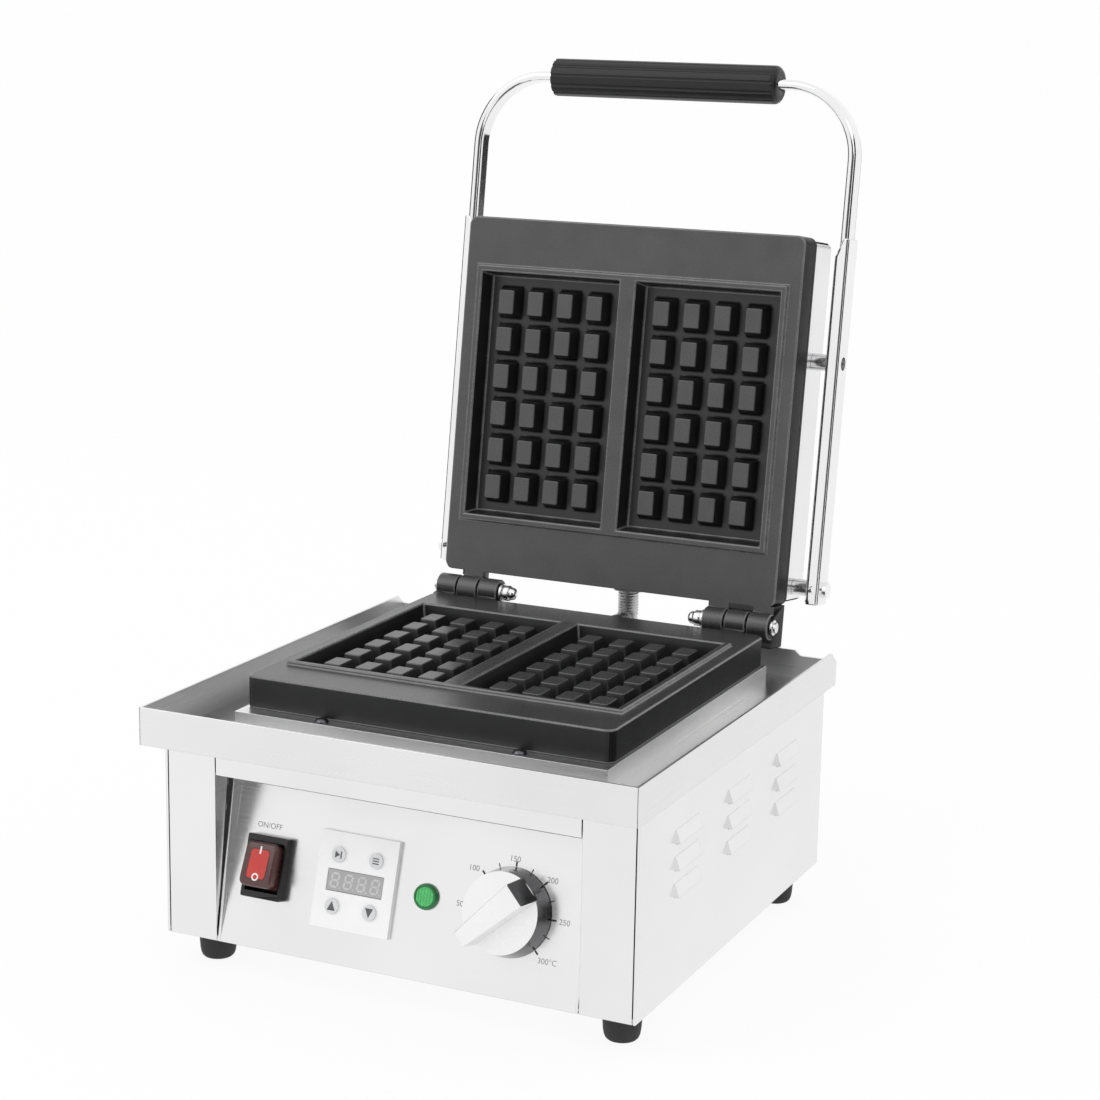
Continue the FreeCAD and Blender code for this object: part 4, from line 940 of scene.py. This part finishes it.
def make_digits():
    """The unlit digits behind the window."""
    out = TIMER_FACE - DIGIT_SINK
    for number in range(DIGITS):
        middle = TIMER_X + DIGIT_PITCH * (number - (DIGITS - 1) / 2)
        place = panel_matrix(middle, CONTROL_HEIGHT, out)
        for name, ends in SEGMENTS.items():
            start, end = (
                (x * SEGMENT_REACH + y * SEGMENT_RISE * SEGMENT_LEAN, y * SEGMENT_RISE) for x, y in ends
            )
            outline = segment_outline(start, end)
            prism(f"digit_{number + 1}_{name}", outline, place, SIGN_THICK, segment, "base")
        spot = panel_matrix(middle + POINT_X, CONTROL_HEIGHT - POINT_DOWN, out)
        name = f"digit_{number + 1}_point"
        ring_mesh(name, POINT_RADIUS, POINT_BORE, spot, SIGN_THICK, segment, "base", POINT_SIDES)


def make_keys():
    """The collars round the keys and the signs on them."""
    for button, (x, y) in BUTTONS.items():
        collar = panel_matrix(TIMER_X + x, CONTROL_HEIGHT + y, TIMER_FACE)
        ring_mesh(button + "_collar", COLLAR_OUTER, COLLAR_INNER, collar, COLLAR_THICK, film, "base")
        top = panel_matrix(TIMER_X + x, CONTROL_HEIGHT + y, BUTTON_TOP)
        for number, outline in enumerate(SIGNS[button]):
            prism(f"{button}_sign_{number + 1}", outline, top, SIGN_THICK, symbol_print, button)


make_digits()
make_keys()


# Lamp

LAMP_RIM = ((7.8, 0), (7.8, 1.0), (7.5, 2.2), (6.9, 3.0), (6.4, 3.2), (6.0, 3.0), (5.8, 2.2))
LAMP_SIDES, LENS_CELLS, LENS_RADIUS = 48, 60, 5.9
LENS_FOOT, LENS_LOW, LENS_CROWN = 1.0, 2.3, 0.5
# Ribs: how high they stand, and how far their wave turns in a millimetre
RIB_TALL, RIB_TURN = 0.55, 1.6
CROSS_RIB_TALL, CROSS_RIB_TURN = 0.12, 2.1


def lens_height(x, y):
    crown = LENS_CROWN * (1 - (x * x + y * y) / LENS_RADIUS ** 2)
    upright = RIB_TALL * abs(math.sin(x * RIB_TURN))
    return LENS_LOW + crown + upright + CROSS_RIB_TALL * abs(math.sin(y * CROSS_RIB_TURN))


def make_lamp():
    """A green lens with a plain rim and upright ribs."""
    place = panel_matrix(LAMP_X, CONTROL_HEIGHT)
    lathe("lamp_rim", LAMP_RIM, place, green_rim, LAMP_SIDES, "lamp_lens")
    bm = bmesh.new()
    bmesh.ops.create_grid(bm, x_segments=LENS_CELLS, y_segments=LENS_CELLS, size=LENS_RADIUS * MM)
    outside = [vert for vert in bm.verts if vert.co.xy.length > LENS_RADIUS * MM]
    bmesh.ops.delete(bm, geom=outside, context="VERTS")
    for vert in bm.verts:
        vert.co.z = lens_height(vert.co.x / MM, vert.co.y / MM) * MM
    wall = bmesh.ops.extrude_edge_only(bm, edges=[edge for edge in bm.edges if edge.is_boundary])
    for part in wall["geom"]:
        if isinstance(part, bmesh.types.BMVert):
            part.co.z = LENS_FOOT * MM
    fill_holes(bm)
    bmesh.ops.recalc_face_normals(bm, faces=bm.faces)
    bm.transform(place)
    add_piece("lamp_ribs", mesh_of("lamp_ribs", bm), green_lens, "base")


make_lamp()


# Dial and knob

MAJOR_MARKS = (180, 135, 90, 45, 0, -45)
MINOR_MARKS = (157.5, 112.5, 67.5, 22.5, -22.5)
# Half width of a tick, and how far from the middle it starts and ends
MAJOR_TICK, MINOR_TICK, TICK_THICK = (0.55, 26.3, 29.2), (0.32, 26.3, 28.6), 0.05
DIAL_WORDS = {
    "50": (36.9, 48.6), "100": (42.8, 70.2), "150": (67.7, 79.3), "200": (92.6, 70.9), "250": (103.3, 48.7),
    "300°C": (95.9, 25.1),
}
KNOB_ROUNDING, KNOB_SHOULDER, KNOB_STEEP, KNOB_TAIL = 0.8, 14.5, 0.5, 0.6


def make_dial():
    """Ticks and numbers round the knob."""
    ticks = [(angle, *MAJOR_TICK) for angle in MAJOR_MARKS] + [(angle, *MINOR_TICK) for angle in MINOR_MARKS]
    for number, (angle, half, near, far) in enumerate(ticks):
        spin = panel_matrix(DIAL_X, CONTROL_HEIGHT) @ Matrix.Rotation(math.radians(angle), 4, "Z")
        outline = rectangle(near, far, -half, half)
        prism(f"dial_tick_{number + 1}", outline, spin, TICK_THICK, black_print, "base")
    for number, (text, (x, up)) in enumerate(DIAL_WORDS.items()):
        lettering(f"dial_number_{number + 1}", text, panel_matrix(x, up))


def make_knob():
    """A satin knob whose skirt and tail wall are polished, with a painted dark reflection in their colour."""
    knob = soften("knob", satin_silver, KNOB_ROUNDING, ROUND_STEPS)
    # The skirt and the tail wall take the dark chrome: painted dark reflection
    knob.data.materials.append(knob_chrome_painted_dark)
    outward = panel_matrix(0, 0).to_3x3() @ Vector((0, 0, 1))
    tail = panel_matrix(0, 0).to_3x3() @ Vector((1, 1, 0)).normalized()
    middle = panel_matrix(DIAL_X, CONTROL_HEIGHT).translation
    for face in knob.data.polygons:
        height = (face.center - middle).dot(outward) / MM
        steep = abs(face.normal.dot(outward)) < KNOB_STEEP
        if steep and (height < KNOB_SHOULDER or face.normal.dot(tail) > KNOB_TAIL):
            face.material_index = 1


make_dial()
make_knob()


# Conduit

GROOVE_PITCH, GROOVE_STEPS = 2.0, 6
GROOVE_SINK, GROOVE_WAVE = 0.40, 0.35
HOSE_STAND, HOSE_OVERLAP, HOSE_SIDES = 12, 2, 28
ROUTE_ORDER, ROUTE_STEPS = 3, 40


def evenly(points, step):
    """Points along a line at a steady distance."""
    spaced, left = [points[0]], step
    for start, end in zip(points, points[1:]):
        length = (end - start).length
        while left <= length:
            spaced.append(start.lerp(end, left / length))
            left += step
        left -= length
    return spaced


def smooth_line(route):
    """Points on a smooth curve that the points of a route pull along."""
    curve = bpy.data.curves.new("conduit_route", "CURVE")
    curve.dimensions = "3D"
    spline = curve.splines.new("NURBS")
    spline.points.add(len(route) - 1)
    for point, place in zip(spline.points, route):
        point.co = (*place, 1)
    spline.order_u = ROUTE_ORDER
    spline.use_endpoint_u = True
    spline.resolution_u = ROUTE_STEPS
    line = evaluated(bpy.data.objects.new("conduit_route", curve))
    return [vert.co.copy() for vert in line.vertices]


def hose_rings(line, radius):
    """Rings in millimetres round a line's points, in and out like the ribs of a hose."""
    across = Vector((1, 0, 0))
    rings = []
    for number, point in enumerate(line):
        along = (line[min(number + 1, len(line) - 1)] - line[max(number - 1, 0)]).normalized()
        turned = Matrix((across, along.cross(across), along)).transposed()
        wave = radius - GROOVE_SINK + GROOVE_WAVE * math.cos(math.tau * number / GROOVE_STEPS)
        rings.append([point / MM + turned @ Vector(spot) for spot in circle(wave, 0, HOSE_SIDES)])
    return rings


def make_conduit():
    """A ribbed metal hose that leaves the tray straight up and sways back into the open lid."""
    low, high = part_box("conduit")
    x, middle = (low.x + high.x) / 2, (low.z + high.z) / 2
    radius = (high.x - low.x) / 2 / MM
    front, rear = low.y + radius * MM, high.y - radius * MM
    stand, overlap = HOSE_STAND * MM, HOSE_OVERLAP * MM
    route = [
        (x, front, low.z), (x, front, low.z + stand), (x, front, middle + overlap),
        (x, rear, middle - overlap), (x, rear, high.z - stand), (x, rear, high.z),
    ]
    line = evenly(smooth_line(route), GROOVE_PITCH / GROOVE_STEPS * MM)
    bm = bmesh.new()
    add_rings(bm, hose_rings(line, radius))
    bmesh.ops.recalc_face_normals(bm, faces=bm.faces)
    hose = add_piece("conduit_hose", mesh_of("conduit_hose", bm), ribbed_metal, None, ["conduit"])
    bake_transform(hose)


make_conduit()


# Finishes of the nodes that keep their CAD mesh

for node, thing in frame["nodes"].items():
    if not thing.hide_render:
        thing.data.materials.clear()
        thing.data.materials.append(FINISH[SLOT[node]])


# The stage, in metres: world, floor, cards, lamps and camera

FLOOR_SIZE, FLOOR_SHADE, FLOOR_GLOW = 400.0, 0.9, 0.9
# Cards: place, size and shade
FLAGS = {
    "flag_left": ((-1.5, 0.1, 0.5), (1.0, 1.4), 0.02), "flag_right": ((1.5, 0.0, 0.5), (1.0, 1.4), 0.02),
    "flag_behind": ((0.98, -2.1, 0.82), (1.6, 1.3), 0.10),
    "flag_beside": ((1.4, -1.35, 0.6), (0.9, 0.8), 0.06),
    "flag_rear": ((0.22, 0.9, 0.43), (0.13, 0.2), 0.02),
}
FLAG_TARGET = Vector((0, 0, 0.3))
# Lamps: place, what they face, size and power
LAMPS = {
    "key": ((-1.1, -1.2, 1.9), (0, 0, 0.2), (1.6, 1.6), 8),
    "fill": ((1.6, -0.9, 1.3), (0, 0, 0.25), (1.4, 1.4), 2),
}
VIEW_TURN, VIEW_RISE, VIEW_ROLL = math.radians(25.02), math.radians(12.72), math.radians(1.05)
VIEW_X, VIEW_BACK, VIEW_HEIGHT = 0.6604, 1.20837, 0.5866
SENSOR_WIDTH, FOCAL_LENGTH = 36, 82.59


def only_seen(tree):
    """1 for what the camera, a reflection or glass sees, 0 for light that falls on things."""
    path = tree.nodes.new("ShaderNodeLightPath")
    total = path.outputs["Is Camera Ray"]
    for other in ("Is Glossy Ray", "Is Transmission Ray"):
        larger = tree.nodes.new("ShaderNodeMath")
        larger.operation = "MAXIMUM"
        link(tree, total, larger.inputs[0])
        link(tree, path.outputs[other], larger.inputs[1])
        total = larger.outputs[0]
    return total


def make_world():
    """White on every side."""
    world = bpy.data.worlds.new("studio")
    world.use_nodes = True
    scene.world = world
    background = world.node_tree.nodes["Background"]
    background.inputs["Color"].default_value = (1, 1, 1, 1)
    background.inputs["Strength"].default_value = 1.0


def floor_material():
    """Pale, and nearly white by itself where it is seen."""
    material = bpy.data.materials.new("pale_floor")
    material.use_nodes = True
    tree = material.node_tree
    tree.nodes.remove(tree.nodes["Principled BSDF"])
    lit = tree.nodes.new("ShaderNodeBsdfDiffuse")
    lit.inputs["Color"].default_value = (FLOOR_SHADE, FLOOR_SHADE, FLOOR_SHADE, 1)
    white = tree.nodes.new("ShaderNodeEmission")
    mix = tree.nodes.new("ShaderNodeMixShader")
    share = tree.nodes.new("ShaderNodeMath")
    share.operation = "MULTIPLY"
    share.inputs[1].default_value = FLOOR_GLOW
    link(tree, only_seen(tree), share.inputs[0])
    link(tree, share.outputs[0], mix.inputs["Fac"])
    link(tree, lit.outputs["BSDF"], mix.inputs[1])
    link(tree, white.outputs["Emission"], mix.inputs[2])
    link(tree, mix.outputs["Shader"], tree.nodes["Material Output"].inputs["Surface"])
    return material


def stage_card(name, width, depth, material):
    """A flat card that belongs to the stage."""
    bm = bmesh.new()
    bmesh.ops.create_grid(bm, x_segments=2, y_segments=2, size=0.5)
    bm.transform(Matrix.Diagonal((width, depth, 1, 1)))
    card = bpy.data.objects.new(name, mesh_of(name, bm))
    card.data.materials.append(material)
    scene.collection.objects.link(card)
    return card


def make_floor():
    floor = stage_card("floor", FLOOR_SIZE, FLOOR_SIZE, floor_material())


def make_flag(name, spot, size, shade):
    """A grey card beside the object, which only reflections see."""
    material = bpy.data.materials.new(name)
    material.use_nodes = True
    shader = material.node_tree.nodes["Principled BSDF"]
    shader.inputs["Base Color"].default_value = (shade, shade, shade, 1)
    shader.inputs["Roughness"].default_value = 1.0
    card = stage_card(name, *size, material)
    card.location = spot
    card.rotation_euler = (FLAG_TARGET - Vector(spot)).to_track_quat("Z", "Y").to_euler()
    for ray in ("camera", "diffuse", "shadow"):
        setattr(card, "visible_" + ray, False)


def softbox(name, spot, target, size, power):
    lamp = bpy.data.lights.new(name, "AREA")
    lamp.shape = "RECTANGLE"
    lamp.size, lamp.size_y = size
    lamp.energy = power
    holder = bpy.data.objects.new(name, lamp)
    holder.location = spot
    holder.rotation_euler = (Vector(target) - Vector(spot)).to_track_quat("-Z", "Y").to_euler()
    scene.collection.objects.link(holder)


def make_camera():
    """The photograph's own view."""
    flat = math.cos(VIEW_RISE)
    back = Vector((math.sin(VIEW_TURN) * flat, -math.cos(VIEW_TURN) * flat, math.sin(VIEW_RISE)))
    level = Vector((math.cos(VIEW_TURN), math.sin(VIEW_TURN), 0))
    upright = back.cross(level)
    right = level * math.cos(VIEW_ROLL) + upright * math.sin(VIEW_ROLL)
    up = upright * math.cos(VIEW_ROLL) - level * math.sin(VIEW_ROLL)
    lens = bpy.data.cameras.new("camera")
    lens.sensor_width = SENSOR_WIDTH
    lens.lens = FOCAL_LENGTH
    camera = bpy.data.objects.new("camera", lens)
    axes = Matrix((right, up, back)).transposed().to_4x4()
    camera.matrix_world = Matrix.Translation((VIEW_X, PANEL_LOW.y - VIEW_BACK, VIEW_HEIGHT)) @ axes
    scene.collection.objects.link(camera)
    scene.camera = camera


make_world()
make_floor()
for name, card in FLAGS.items():
    make_flag(name, *card)
for name, lamp in LAMPS.items():
    softbox(name, *lamp)
make_camera()
scene.view_settings.view_transform = "Standard"
